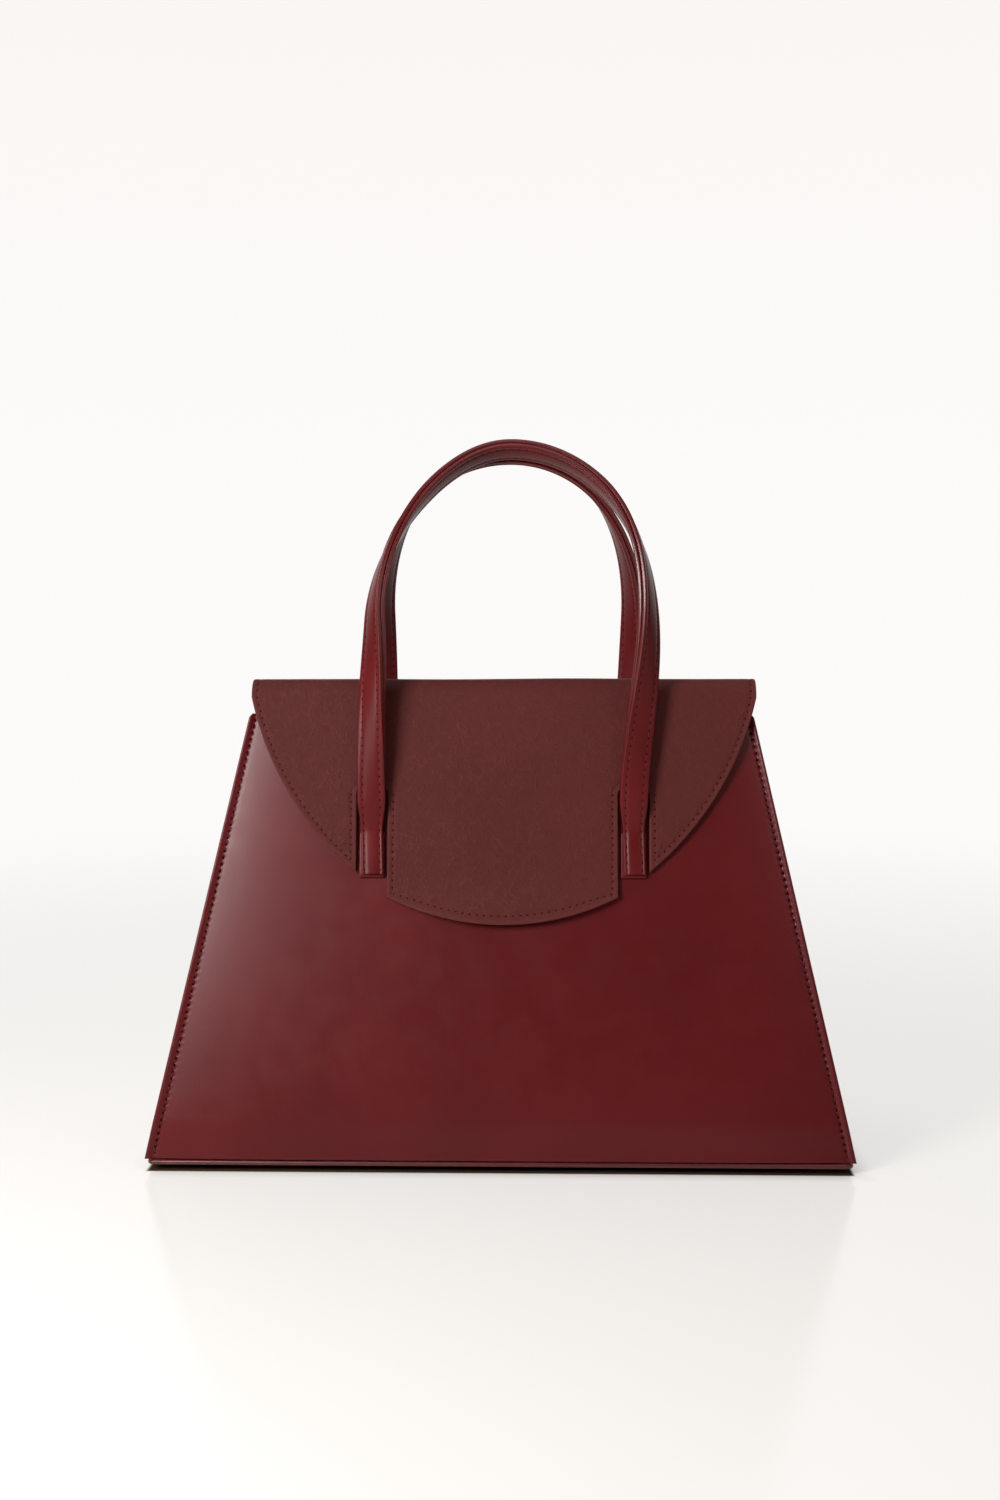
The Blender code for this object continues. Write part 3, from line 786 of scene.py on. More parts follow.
inside = {
    "board": 0.0012,
    "boardTop": 0.0024,     # the board stops this far below the mouth
    "cloth": 0.0008,
    "facing": 0.0012,
    "facingDepth": 0.028,
    "facingRow": 0.0032,
    "facingRows": (0.0036, 0.0030, 0.0024, 0.0019, 0.0014),     # below the mouth
    "turnDrop": 0.0026,     # and where the facing starts to turn outward over the board
    "turnReach": 0.0010,
    "edgeRound": 0.0005,
    "corner": 0.003,
    "spans": [44, 5, 16, 5] * 2,    # columns of a wall, a corner, a side and a corner, twice
    "rows": 40,
    "follow": 0.0006,       # how much of a wall's puff its board and lining follow
    "clear": 0.012,         # and how far from its sides they stop doing so
    "fade": 0.010,
    "pocketWidth": 0.130,
    "pocketHeight": 0.095,
    "pocketDrop": 0.045,
    "pocketCloth": 0.0009,
    "pocketHem": 0.010,
    "pocketHemLayer": 0.0005,
    "pocketSlack": 0.0016,      # how far its cloth hangs off the lining at the top
    "pocketRow": 0.0028,
    "pocketRowEnd": 0.0015,
}
insideDepth = wall["leather"] + 2 * bag["gap"] + inside["board"]


def wallFollow(x, length):
    # what lies behind a wall takes part in its relief
    return min(wallRelief(x, length), inside["follow"] + wall["bulge"])


def nearSide(x, half):
    return smooth((abs(x) - half + inside["clear"]) / inside["fade"])


def insidePoint(index, z, offset):
    # a place round the inside of the bag at this height, this far in from the lining's outer face
    halfX = halfWidth(z) - bag["seam"] - gusset["leather"] - bag["gap"] - offset
    halfY = halfDepth(z) - (insideDepth + offset) / math.cos(lean)
    radius = inside["corner"]
    spans = inside["spans"]
    index %= sum(spans)
    part = 0
    while index >= spans[part]:
        index -= spans[part]
        part += 1
    share = index / spans[part]
    if part % 4 == 0:
        x, y = (halfX - radius) * (2 * share - 1), -halfY
    elif part % 4 == 2:
        x, y = halfX, (halfY - radius) * (2 * share - 1)
    else:
        sign, quarter = (-1, 0) if part % 4 == 1 else (1, 1)
        angle = math.pi / 2 * (quarter + share)
        x = halfX - radius + radius * math.sin(angle)
        y = sign * (halfY - radius) - radius * math.cos(angle)
    if part > 3:
        x, y = -x, -y
    length = (z - bag["foot"]) / math.cos(lean)
    follow = wallFollow(x, length) / math.cos(lean)
    y += math.copysign(follow * smooth(abs(y) / halfY) * (1 - nearSide(x, halfX)), y)
    x -= math.copysign(gussetDip(y, z) * smooth(abs(x) / halfX), x)
    return Vector((x, y, z))


def ringSheet(columns, rows, place):
    # a sheet closed on itself, such as a band or the wall of a sack
    mesh = gridSheet(columns, rows, place)
    seam = [face for face in mesh.faces if face.calc_area() > 0 and face.material_index]
    first = {place(0, j, back).freeze() for j in range(rows + 1) for back in (False, True)}
    ends = [face for face in seam
            if all(any((vert.co - spot).length < 1e-7 for spot in first) for vert in face.verts)]
    bmesh.ops.delete(mesh, geom=ends, context="FACES")
    bmesh.ops.remove_doubles(mesh, verts=mesh.verts[:], dist=1e-6)
    bmesh.ops.recalc_face_normals(mesh, faces=mesh.faces[:])
    return mesh


def insidePieces():
    split = bag["mouth"] - inside["facingDepth"]
    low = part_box("lining")[0].z
    columns = sum(inside["spans"])
    rows = inside["rows"]
    levels = [low + (split - bag["gap"] - low) * step / rows for step in range(rows + 1)]

    def liningPlace(i, j, back):
        return insidePoint(i, levels[j], inside["cloth"] if back else 0)

    sack = ringSheet(columns, rows, liningPlace)
    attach(makePiece("liningWalls", sack, [twill, twill], ["lining"]), "root")

    ground = bmesh.new()
    corners = [ground.verts.new(insidePoint(i, low, inside["cloth"])) for i in range(columns)]
    face = ground.faces.new(corners)
    made = bmesh.ops.extrude_face_region(ground, geom=[face])["geom"]
    lifted = [item for item in made if isinstance(item, bmesh.types.BMVert)]
    bmesh.ops.translate(ground, verts=lifted, vec=(0, 0, inside["cloth"]))
    bmesh.ops.recalc_face_normals(ground, faces=ground.faces[:])
    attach(makePiece("liningFloor", ground, [twill]), "root")

    radius = inside["edgeRound"]
    ends = edgeSteps(radius)
    top = bag["mouth"]
    flat = inside["facingDepth"] - 0.004
    bandLevels = [split + step for step in ends]
    bandLevels += [split + radius + flat * step / 10 for step in range(1, 10)]
    bandLevels += [top - step for step in inside["facingRows"]]
    bandLevels += [top - step for step in reversed(ends)]
    reach = 2 * bag["gap"] + inside["board"] - 0.0002

    def bandPlace(i, j, back):
        z = bandLevels[j]
        fall = edgeDrop(min(z - split, top - z), radius)
        turned = reach * smooth((z - top + inside["turnDrop"]) / inside["turnReach"])
        if back:
            return insidePoint(i, z, inside["facing"] - fall)
        return insidePoint(i, z, fall - turned)

    band = ringSheet(columns, len(bandLevels) - 1, bandPlace)
    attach(makePiece("mouthFacing", band, [body, body], ["mouth_facing"]), "root")

    seam = newSeam()
    for z in (top - inside["facingRow"], split + inside["facingRow"]):
        ring = [insidePoint(i, z, inside["facing"]) for i in range(columns + 1)]
        outs = [(insidePoint(i, z, inside["facing"] + 0.001) - point).normalized()
                for i, point in enumerate(ring)]
        sewRow(seam, ring, outs)
    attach(seamPiece("facingStitches", seam), "root")


def boardPiece(side, name):
    node = name + "_stiffener"
    low = (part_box(node)[0].z - bag["foot"]) / math.cos(lean)
    high = wallLength - inside["boardTop"]
    margin = bag["seam"] + gusset["leather"] + bag["gap"]
    turned = wallFrame(side)
    depth = wall["leather"] + bag["gap"]
    columns, rows = 40, 36

    def place(i, j, back):
        length = low + (high - low) * j / rows
        half = halfWidth(bag["foot"] + length * math.cos(lean)) - margin
        x = half * (2 * i / columns - 1)
        follow = wallFollow(x, length) * (1 - nearSide(x, half))
        offset = follow - depth - (inside["board"] if back else 0)
        return turned @ Vector((x, length, offset))

    mesh = gridSheet(columns, rows, place)
    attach(makePiece(name + "Board", mesh, [board, board], [node]), "root")


def pocketPiece():
    # a patch of the lining's cloth with a turned hem, sewn on three sides
    high = below(inside["pocketDrop"])
    low = high - inside["pocketHeight"]
    half = inside["pocketWidth"] / 2
    hem = high - inside["pocketHem"]
    turned = wallFrame(1)
    columns, rows = 40, 40

    def pocketPoint(x, length, front):
        depth = insideDepth + inside["cloth"] + bag["gap"]
        if front:
            depth += inside["pocketCloth"]
            depth += inside["pocketHemLayer"] * smooth((length - hem) / 0.0006)
        slack = inside["pocketSlack"] * smooth((length - low) / 0.05) * (1 - (x / half) ** 2)
        return turned @ Vector((x, length, wallFollow(x, length) - depth - slack))

    def place(i, j, back):
        return pocketPoint(half * (2 * i / columns - 1), low + (high - low) * j / rows, back)

    mesh = gridSheet(columns, rows, place)
    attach(makePiece("slipPocket", mesh, [twill, twill], ["slip_pocket"]), "root")
    seam = newSeam()
    out = turned.to_3x3() @ Vector((0, 0, -1))
    near, bottom = half - inside["pocketRow"], low + inside["pocketRow"]
    top, under = high - inside["pocketRowEnd"], hem + inside["pocketRowEnd"]
    around = [(-near, top), (-near, bottom), (near, bottom), (near, top)]
    for row in (around, [(-near, under), (near, under)]):
        points = []
        for first, second in zip(row, row[1:]):
            for step in range(40):
                x, length = Vector(first).lerp(Vector(second), step / 40)
                points.append(pocketPoint(x, length, True))
        sewRow(seam, points, [out] * len(points))
    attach(seamPiece("pocketStitches", seam), "root")


wallSides = ((-1, "front"), (1, "back"))
for wallSide, wallName in wallSides:
    wallPiece(wallSide, wallName)
    seamStitches(wallSide, wallName)
gussetPiece(-1, "left")
gussetPiece(1, "right")
basePiece()
feetPieces()
print("walls, sides, base and feet made")
insidePieces()
for wallSide, wallName in wallSides:
    boardPiece(wallSide, wallName)
pocketPiece()
print("inside made")


# Flap

flap = {
    "width": 0.2474,
    "rise": 0.0170,         # from the mouth to its top
    "fold": 0.009,          # radius of its folds
    "leather": 0.0012,
    "backing": 0.0008,
    "backingTrim": 0.0002,
    "stand": 0.0024,        # from the front wall to the back of the flap
    "drop": 0.1010,
    "anchor": 0.028,        # what is sewn to the back wall
    "anchorCorner": 0.0052,
    "wingDrop": 0.0758,
    "wingRadius": 0.155,
    "wingStart": -0.0085,
    "tabWidth": 0.1122,
    "tabCorner": 0.0877,
    "slotWidth": 0.0151,
    "slotTop": 0.0350,
    "slotCorner": 0.0040,
    "edgeRound": 0.0006,
    "paleEdge": 0.0003,     # its cut edge is pale up to here
    "paleFade": 0.0012,
    "row": 0.0027,          # stitches from the outline
    "tipRoom": 0.55,        # and this much more along the tab's lower edge
    "tipReach": 0.014,
    "slotRow": 0.003,       # rows start this far below the slots' closed ends
    "groove": 0.00022,
    "grooveReach": 0.0007,
    "rings": (-0.0018, -0.0009, -0.0004, 0, 0.0004, 0.0009, 0.0018, 0.0034),    # from the row
    "point": 0.0012,        # spacing of the outline's points and of the cuts across its folds
    "cut": 0.004,           # spacing of the other cuts
    "strips": 48,
    "wave": 0.0005,
    "waveScale": 16,
    "waveStart": 0.03,      # the leather hangs free from here on
    "lift": 0.0034,         # how far the tab's tip stands off, below the snap
    "liftReach": 0.020,
    "tilt": 0.0018,         # how far its top falls towards the back
    "hingeReach": 0.005,
    "hingeOver": 1.6,       # how far the way through its bend leans over the bag
}
flapStack = flap["backing"] + bag["gap"] + flap["leather"]
backOffset = bag["gap"] + flapStack
frontOffset = flap["stand"] + flapStack


def foldPlan():
    # where the flap's folds start and end, and the line it hinges on
    radius = flap["fold"]
    back, front = wallFrame(1), wallFrame(-1)
    hinge = back @ Vector((0, wallLength, backOffset))
    level = bag["mouth"] + flap["rise"] - radius * (1 - math.sin(lean))
    lift = (level - hinge.z) / math.cos(lean)
    backStart = hinge + back.to_3x3() @ Vector((0, lift, 0))
    frontFoot = front @ Vector((0, 0, frontOffset))
    frontEnd = frontFoot + front.to_3x3() @ Vector((0, (level - frontFoot.z) / math.cos(lean), 0))
    backMiddle = backStart.y - radius * math.cos(lean)
    frontMiddle = frontEnd.y + radius * math.cos(lean)
    arc = radius * (math.pi / 2 - lean)
    flat = backMiddle - frontMiddle
    return {"hinge": hinge, "frontEnd": frontEnd,
            "backMiddle": backMiddle, "frontMiddle": frontMiddle,
            "centre": bag["mouth"] + flap["rise"] - radius,
            "bends": (lift, lift + arc, lift + arc + flat, lift + 2 * arc + flat)}


fold = foldPlan()
frontLevel = fold["bends"][3] + (fold["frontEnd"].z - bag["mouth"]) / math.cos(lean)


def flapPoint(station):
    # place and outward direction on the flap's outer face, by distance from the hinge
    radius = flap["fold"]
    first, second, third, fourth = fold["bends"]
    if station < first:
        turned = wallFrame(1).to_3x3()
        return fold["hinge"] + turned @ Vector((0, station, 0)), turned @ Vector((0, 0, 1))
    if station < second or third < station < fourth:
        angle = lean + (station - first) / radius
        middle = fold["backMiddle"]
        if station > third:
            angle = math.pi / 2 + (station - third) / radius
            middle = fold["frontMiddle"]
        out = Vector((0, math.cos(angle), math.sin(angle)))
        return Vector((0, middle, fold["centre"])) + out * radius, out
    if station <= third:
        y = fold["backMiddle"] - (station - second)
        return Vector((0, y, fold["centre"] + radius)), Vector((0, 0, 1))
    turned = wallFrame(-1).to_3x3()
    return fold["frontEnd"] - turned @ Vector((0, station - fourth, 0)), turned @ Vector((0, 0, 1))


def stationOf(drop):
    return frontLevel + drop / math.cos(lean)


def arcBetween(start, end, radius, spacing):
    # a round arc that bulges to the right of the way from start to end
    start, end = Vector(start), Vector(end)
    half = (end - start) / 2
    right = Vector((half.y, -half.x)).normalized()
    middle = start + half - right * math.sqrt(radius ** 2 - half.length ** 2)
    first, last = start - middle, end - middle
    sweep = math.atan2(first.cross(last), first.dot(last))
    steps = max(2, round(abs(sweep) * radius / spacing))
    return [middle + Matrix.Rotation(sweep * step / steps, 2) @ first for step in range(steps + 1)]


def spaced(points, spacing):
    # more points along the straight runs of a closed outline
    dense = []
    for first, second in zip(points, points[1:] + points[:1]):
        steps = max(1, round((second - first).length / spacing))
        dense += [first.lerp(second, step / steps) for step in range(steps)]
    return dense


def flapOutline(trim=0.0):
    # the flap laid flat: x across, y is the distance from the hinge
    half = flap["width"] / 2 - trim
    step = flap["point"]
    slotIn = flap["tabWidth"] / 2 - trim
    slotOut = flap["tabWidth"] / 2 + flap["slotWidth"] + trim
    low = -flap["anchor"] / math.cos(lean) + trim
    corner = flap["anchorCorner"]
    anchor = arcBetween((half - corner, low), (half, low + corner), corner, step)
    wing = arcBetween((half, stationOf(flap["wingStart"])),
                      (slotOut, stationOf(flap["wingDrop"]) - trim), flap["wingRadius"], step)
    top = stationOf(flap["slotTop"]) - trim
    bend = flap["slotCorner"]
    slot = arcBetween((slotOut - bend, top), (slotOut, top + bend), bend, step)[::-1]
    slot += arcBetween((slotIn, top + bend), (slotIn + bend, top), bend, step)[::-1]
    tabLow = stationOf(flap["tabCorner"]) - trim
    sag = stationOf(flap["drop"]) - trim - tabLow
    bow = (slotIn ** 2 + sag ** 2) / (2 * sag)
    tab = arcBetween((slotIn, tabLow), (-slotIn, tabLow), bow, step)
    right = anchor + wing + slot
    left = [Vector((-point.x, point.y)) for point in reversed(right)]
    outline = []
    for point in right + tab + left:
        if not outline or (point - outline[-1]).length > 1e-6:
            outline.append(point)
    return spaced(outline, step)


def flapWave(x, station):
    # slow unevenness of leather that hangs free, none where it is sewn down
    free = smooth(station / flap["waveStart"])
    scale = flap["waveScale"]
    wave = noise.noise(Vector((x * scale, station * scale, 3.7))) * flap["wave"]
    low = stationOf(flap["drop"])
    return free * wave + flap["lift"] * smooth((station - low) / flap["liftReach"] + 1)


def flapTilt(station):
    first, second, third, _ = fold["bends"]
    if station < second:
        return flap["tilt"] * smooth(station / first)
    return flap["tilt"] * (1 - smooth((station - second) / (third - second)))


def flapPlace(x, station, depth):
    point, out = flapPoint(station)
    point.z -= flapTilt(station)
    return Vector((x + bag["shift"], point.y, point.z)) + out * (flapWave(x, station) + depth)


def seamRoom(point):
    # the tab's lower edge is sewn further in than the rest of the flap
    if point.y < stationOf(flap["tabCorner"]) - 0.001:
        return 1
    return 1 + flap["tipRoom"] * smooth((flap["tabWidth"] / 2 - abs(point.x)) / flap["tipReach"])


def insetRing(outline, distance):
    # the outline drawn in by this much; points crowded out by a sharp corner gather in its point
    count = len(outline)
    steps = [outline[(index + 1) % count] - outline[index] for index in range(count)]
    ways = [step.normalized() for step in steps]
    ring = []
    for index, point in enumerate(outline):
        way = (ways[index - 1] + ways[index]).normalized()
        reach = distance * seamRoom(point) / way.dot(ways[index])
        ring.append(point + Vector((-way.y, way.x)) * reach * inward(outline))
    for index in range(count):
        before, after = ways[index - 1], ways[index]
        if before.dot(after) > 0.94:
            continue
        half = (math.pi - before.angle(after)) / 2
        crowded = distance / math.tan(half)
        for sign in (-1, 1):
            walked, place = 0, index
            while walked < crowded:
                ring[place % count] = ring[index]
                walked += steps[place % count if sign > 0 else (place - 1) % count].length
                place += sign
    return ring


def inward(outline):
    # which side of its way round an outline's inside lies on
    pairs = zip(outline, outline[1:] + outline[:1])
    area = sum(first.cross(second) for first, second in pairs)
    return 1 if area > 0 else -1


def ringLoops(mesh, outline, distances, fromEdge):
    # corners along the outline and along each ring inside it, one where points have gathered
    loops = []
    for distance in distances:
        ring = outline if distance == 0 else insetRing(outline, distance)
        loop = []
        for point in ring:
            if not loop or (loop[-1].co.xy - point).length > 1e-6:
                loop.append(mesh.verts.new((point.x, point.y, 0)))
                loop[-1][fromEdge] = distance
            else:
                loop.append(loop[-1])
        if loop[-1] != loop[0] and (loop[-1].co - loop[0].co).length < 1e-6:
            last = loop[-1]
            loop = [loop[0] if vert == last else vert for vert in loop]
            mesh.verts.remove(last)
        loops.append(loop)
    return loops


def middleCuts(outline):
    # a place and a direction for each cut through the flat pattern's middle
    last = fold["bends"][3]
    low = min(point.y for point in outline)
    high = max(point.y for point in outline)
    start = -flap["hingeReach"]
    coarse, fine, strips = flap["cut"], flap["point"], flap["strips"]
    levels = [low + coarse * step for step in range(1, int((high - low) / coarse))]
    levels = [level for level in levels if not start < level < last]
    levels += [start + fine * step for step in range(int((last - start) / fine) + 1)]
    sides = [flap["width"] * (step / strips - 0.5) for step in range(1, strips)]
    cuts = [((0, level, 0), (0, 1, 0)) for level in levels]
    return cuts + [((side, 0, 0), (1, 0, 0)) for side in sides]


def flapSheet(outline, outer, thickness, rings, radius, groove):
    # the flat pattern with a rounded rim, cut into strips that can bend, then wrapped over
    mesh = bmesh.new()
    rim = mesh.verts.layers.float.new("rim")
    fromEdge = mesh.verts.layers.float.new("inside")
    inner = mesh.faces.layers.int.new("inner")
    loops = ringLoops(mesh, outline, [0] + rings, fromEdge)
    for low, high in zip(loops, loops[1:]):
        for index in range(len(outline)):
            after = (index + 1) % len(outline)
            corners = list(dict.fromkeys((low[index], low[after], high[after], high[index])))
            if len(corners) > 2:
                mesh.faces.new(corners)
    mesh.faces.new(list(dict.fromkeys(loops[-1])))[inner] = 1
    for place, normal in middleCuts(outline):
        faces = [face for face in mesh.faces if face[inner]]
        geom = set(faces)
        for face in faces:
            geom.update(face.edges)
            geom.update(face.verts)
        bmesh.ops.bisect_plane(mesh, geom=list(geom), plane_co=place, plane_no=normal, dist=1e-5)
    for face in mesh.faces:
        if face[inner]:
            for vert in face.verts:
                vert[fromEdge] = rings[-1]
    made = bmesh.ops.extrude_face_region(mesh, geom=mesh.faces[:])["geom"]
    backs = {item for item in made if isinstance(item, bmesh.types.BMVert)}
    for vert in mesh.verts:
        distance = vert[fromEdge]
        drop = edgeDrop(distance, radius)
        press = groove * math.exp(-((distance - flap["row"]) / flap["grooveReach"]) ** 2)
        depth = drop - thickness if vert in backs else -drop - press
        vert[rim] = 1 - smooth((distance - flap["paleEdge"]) / flap["paleFade"])
        vert.co = flapPlace(vert.co.x, vert.co.y, depth - outer)
    markRim(mesh, backs)
    bmesh.ops.recalc_face_normals(mesh, faces=mesh.faces[:])
    return mesh


def bentHinge(piece, side, point):
    # bakes the piece's placement into its mesh; no bend over the hinge is made here
    up = wallFrame(side).to_3x3() @ Vector((0, 1, 0))
    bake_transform(piece)


def flapPieces():
    radius = flap["edgeRound"]
    rings = edgeSteps(radius)[1:] + [flap["row"] + step for step in flap["rings"]]
    mesh = flapSheet(flapOutline(), 0, flap["leather"], rings, radius, flap["groove"])
    leather = makePiece("flapLeather", mesh, [matte, matte],
                        ["flap_outer", "flap_anchor_strip"])
    bentHinge(leather, 1, fold["hinge"])
    lower = flapOutline(flap["backingTrim"])
    radius = flap["backing"] * 0.4
    rings = edgeSteps(radius)[1:] + [0.002]
    mesh = flapSheet(lower, flap["leather"] + 0.00005, flap["backing"], rings, radius, 0)
    backing = makePiece("flapBacking", mesh, [body, paint], ["flap_lining"])
    bentHinge(backing, 1, fold["hinge"])


def flapStitches():
    # rows along the whole outline but not across the closed ends of the slots
    path = []
    for point in insetRing(flapOutline(), flap["row"]):
        if not path or (point - path[-1]).length > 1e-6:
            path.append(point)
    top = stationOf(flap["slotTop"]) + flap["slotRow"]
    room = flap["row"] + 0.001
    near = flap["tabWidth"] / 2 - room
    far = flap["tabWidth"] / 2 + flap["slotWidth"] + room

    def atSlotEnd(point):
        return near < abs(point.x) < far and top - 0.012 < point.y < top

    start = next(index for index, point in enumerate(path) if atSlotEnd(point))
    path = path[start:] + path[:start]
    runs, run = [], []
    for point in path + path[:1]:
        if atSlotEnd(point):
            if len(run) > 2:
                runs.append(run)
            run = []
        else:
            run.append(point)
    seam = newSeam()
    for run in runs:
        points = [flapPlace(point.x, point.y, -flap["groove"]) for point in run]
        outs = [flapPoint(point.y)[1] for point in run]
        sewRow(seam, points, outs)
    piece = seamPiece("flapStitches", seam)
    bentHinge(piece, 1, fold["hinge"])


# Snap

snap = {
    "radius": 0.0070,
    "lip": 0.0003,
    "plate": 0.0009,
    "collar": 0.0032,
    "bore": 0.0019,
    "socketWasher": 0.0008,     # its thickness
    "studPlate": 0.0006,
    "stud": 0.0016,
    "studLength": 0.0010,
    "rivet": 0.0012,
    "washer": 0.0045,
    "studWasher": 0.0004,       # its thickness
}


def snapPieces():
    placed = wallFrame(-1) @ Matrix.Translation((bag["shift"], below(bag["snapDrop"]), 0))
    gap, lip, collar = bag["gap"], snap["lip"], snap["collar"]
    radius, plate, bore = snap["radius"], snap["plate"], snap["bore"]
    thick = snap["socketWasher"]
    deep = -wall["leather"] - gap - thick
    socket = [(bore, deep), (collar, deep), (collar, gap), (radius - lip, gap)]
    socket += arcOf((radius - lip, gap + lip), lip, -90, 90, 5)
    socket += [(radius * 0.74, gap + plate * 0.62), (radius * 0.66, gap + plate * 0.60)]
    socket += arcOf((collar - 0.0006, gap + plate - 0.0003), 0.0003, 40, 140, 3)
    socket += [(bore + 0.0001, gap + plate * 0.7), (bore, gap + plate * 0.5)]
    turnedPiece("snapSocket", socket, placed, nickel, ["snap_socket"], "root")
    ring = [(collar + gap, deep), (radius - lip, deep), (radius, deep + lip),
            (radius - lip, deep + thick), (collar + gap, deep + thick)]
    turnedPiece("snapSocketWasher", ring, placed, steel,
                ["snap_socket_washer"], "root")
    face = flap["stand"] - gap
    rear = flap["stand"] + flap["backing"] + gap
    low = face - snap["studPlate"]
    head, tip, rivet = snap["stud"], snap["studLength"], snap["rivet"]
    high = rear + snap["studWasher"]
    stud = [(0, low - tip), (head * 0.7, low - tip), (head * 0.95, low - tip * 0.8),
            (head, low - tip * 0.6), (head * 0.82, low), (radius * 0.62, low),
            (radius * 0.70, low + 0.00012), (radius - lip, low + 0.00012)]
    stud += arcOf((radius - lip, low + lip + 0.00006), lip * 0.8, -80, 80, 4)
    stud += [(radius - lip, face), (rivet, face), (rivet, high), (0, high)]
    turnedPiece("snapStud", stud, placed, nickel, ["snap_stud"], "flap")
    washer = snap["washer"]
    ring = [(rivet + gap, rear), (washer, rear), (washer, high), (rivet + gap, high)]
    turnedPiece("snapStudWasher", ring, placed, steel, ["snap_stud_washer"], "flap")


flapPieces()
flapStitches()
snapPieces()
print("flap made")


# Straps

strap = {
    "width": 0.0136,
    "thickness": 0.0046,
    "endWidth": 0.0104,
    "endLayer": 0.0017,
    "baseLayer": 0.0015,
    "endDrop": 0.0793,
    "endMargin": 0.0018,
    "endShift": 0.0006,     # the upper layer's ends sit a little to the right
    "creaseDrop": 0.0573,
    "settle": 0.012,        # above the crease, over which a strap turns to its own way
    "taper": 0.0155,        # and comes to full size
    "crownGap": 0.0011,
    "leanPower": 2.8,
    "edgeRound": 0.00065,
    "baseWidth": 0.0122,
    "baseRound": 0.0005,
    "innerStart": 0.0015,   # the inner leather starts this far above the crease
    "pitch": 0.0038,
    "row": 0.0026,          # stitches from the strap's edges
    "endRow": 0.0015,       # and from its sewn ends' edges
    "crown": 0.00026,       # how far its padded middle stands up
    "groove": 0.00016,
    "endGroove": 0.00028,
    "grooveReach": 0.0006,
    "columns": (-0.0007, -0.0003, 0, 0.0003, 0.0007),   # from the row
    "middleColumns": 8,
    "stations": 260,
    "endStations": 22,
}
# by side, the front one first: how each handle bows to the left and right, how much flatter or
# fuller than an ellipse, and how far up it starts to turn and has turned edge-on
arches = {
    -1: {"rise": 0.1865, "shift": 0.0035, "height": 0.0848, "halves": (0.0659, 0.0672),
         "pinch": (0.116, -0.053), "swell": (0, 0.030), "drift": (0.0500, 0.0130),
         "turn": 0.0105, "turned": 0.165},
    1: {"rise": 0.1843, "shift": 0.0029, "height": 0.0801, "halves": (0.0664, 0.0629),
        "pinch": (-0.070, -0.088), "swell": (0, 0), "drift": (0.0170, 0.0170),
        "turn": 0.0040, "turned": 0.190},
}
creaseLength = below(strap["creaseDrop"])
endOffset = 2 * bag["gap"] + strap["baseLayer"] + strap["endLayer"]
layerOffset = 2 * bag["gap"] + strap["baseLayer"]


def strapMiddle(sign):
    return sign * (flap["tabWidth"] + flap["slotWidth"]) / 2 + bag["shift"]


def creasePoint(side):
    return wallFrame(side) @ Vector((0, creaseLength, endOffset))


def handleLean(side, climb):
    # how far a handle starts from the middle of the bag, and how far it has leaned in
    reach = math.hypot(strap["width"], strap["thickness"]) / 2 + strap["crownGap"] / 2
    lift = (strap["thickness"] / 2 - strap["endLayer"]) * math.cos(lean)
    outward = abs(creasePoint(side).y) + lift
    return outward, (outward - reach) * max(climb, 0) ** strap["leanPower"]


def handlePath(side, share):
    # middle line of a handle, from the left crease over the crown to the right crease
    arch = arches[side]
    low = creasePoint(side).z + bag["gap"]
    spring = arch["rise"] - arch["height"]
    around = math.pi / 2 * (sum(arch["halves"]) / 2 + arch["height"]) / 2
    leg = spring / (spring + around) / 2
    middle = arch["shift"] + bag["shift"]
    sign, which = (-1, 0) if share < 0.5 else (1, 1)
    half = sign * arch["halves"][which]
    if share < leg or share > 1 - leg:
        height = spring * min(share, 1 - share) / leg
        start = strapMiddle(sign)
        drift = arch["drift"][which]
        x = start + (middle + half - start) * smooth((height - drift) / (spring - drift))
    else:
        angle = math.pi * (share - leg) / (1 - 2 * leg)
        pinched = 1 - arch["pinch"][which] * math.sin(angle) ** 2
        pinched += arch["swell"][which] * math.sin(2 * angle) ** 2
        x = middle + half * abs(math.cos(angle)) * pinched
        height = spring + arch["height"] * math.sin(angle)
    outward, inward = handleLean(side, height / arch["rise"])
    return Vector((x, side * (outward - inward), low + height))


def handleFrame(side, share):
    # place, face direction and width direction of the strap
    arch = arches[side]
    step = 0.002
    before = handlePath(side, max(share - step, 0))
    after = handlePath(side, min(share + step, 1))
    along = (after - before).normalized()
    place = handlePath(side, share)
    height = place.z - creasePoint(side).z
    turn = min(max((height - arch["turn"]) / (arch["turned"] - arch["turn"]), 0), 1)
    angle = math.pi / 2 * (0.6 * turn + 0.4 * smooth(turn))
    climb = (height - bag["gap"]) / arch["rise"]
    slope = (handleLean(side, climb + step)[1] - handleLean(side, climb)[1]) / (step * arch["rise"])
    face = Vector((0, side, slope)).normalized()
    face = (face - along * face.dot(along)).normalized()
    sideways = face.cross(along)
    middle = arch["shift"] + bag["shift"]
    outward = Vector((place.x - middle, 0, max(height - arch["rise"] + arch["height"], 0)))
    if sideways.dot(outward) < 0:
        sideways = -sideways
    normal = face * math.cos(angle) + sideways * math.sin(angle)
    return place, normal, normal.cross(along)


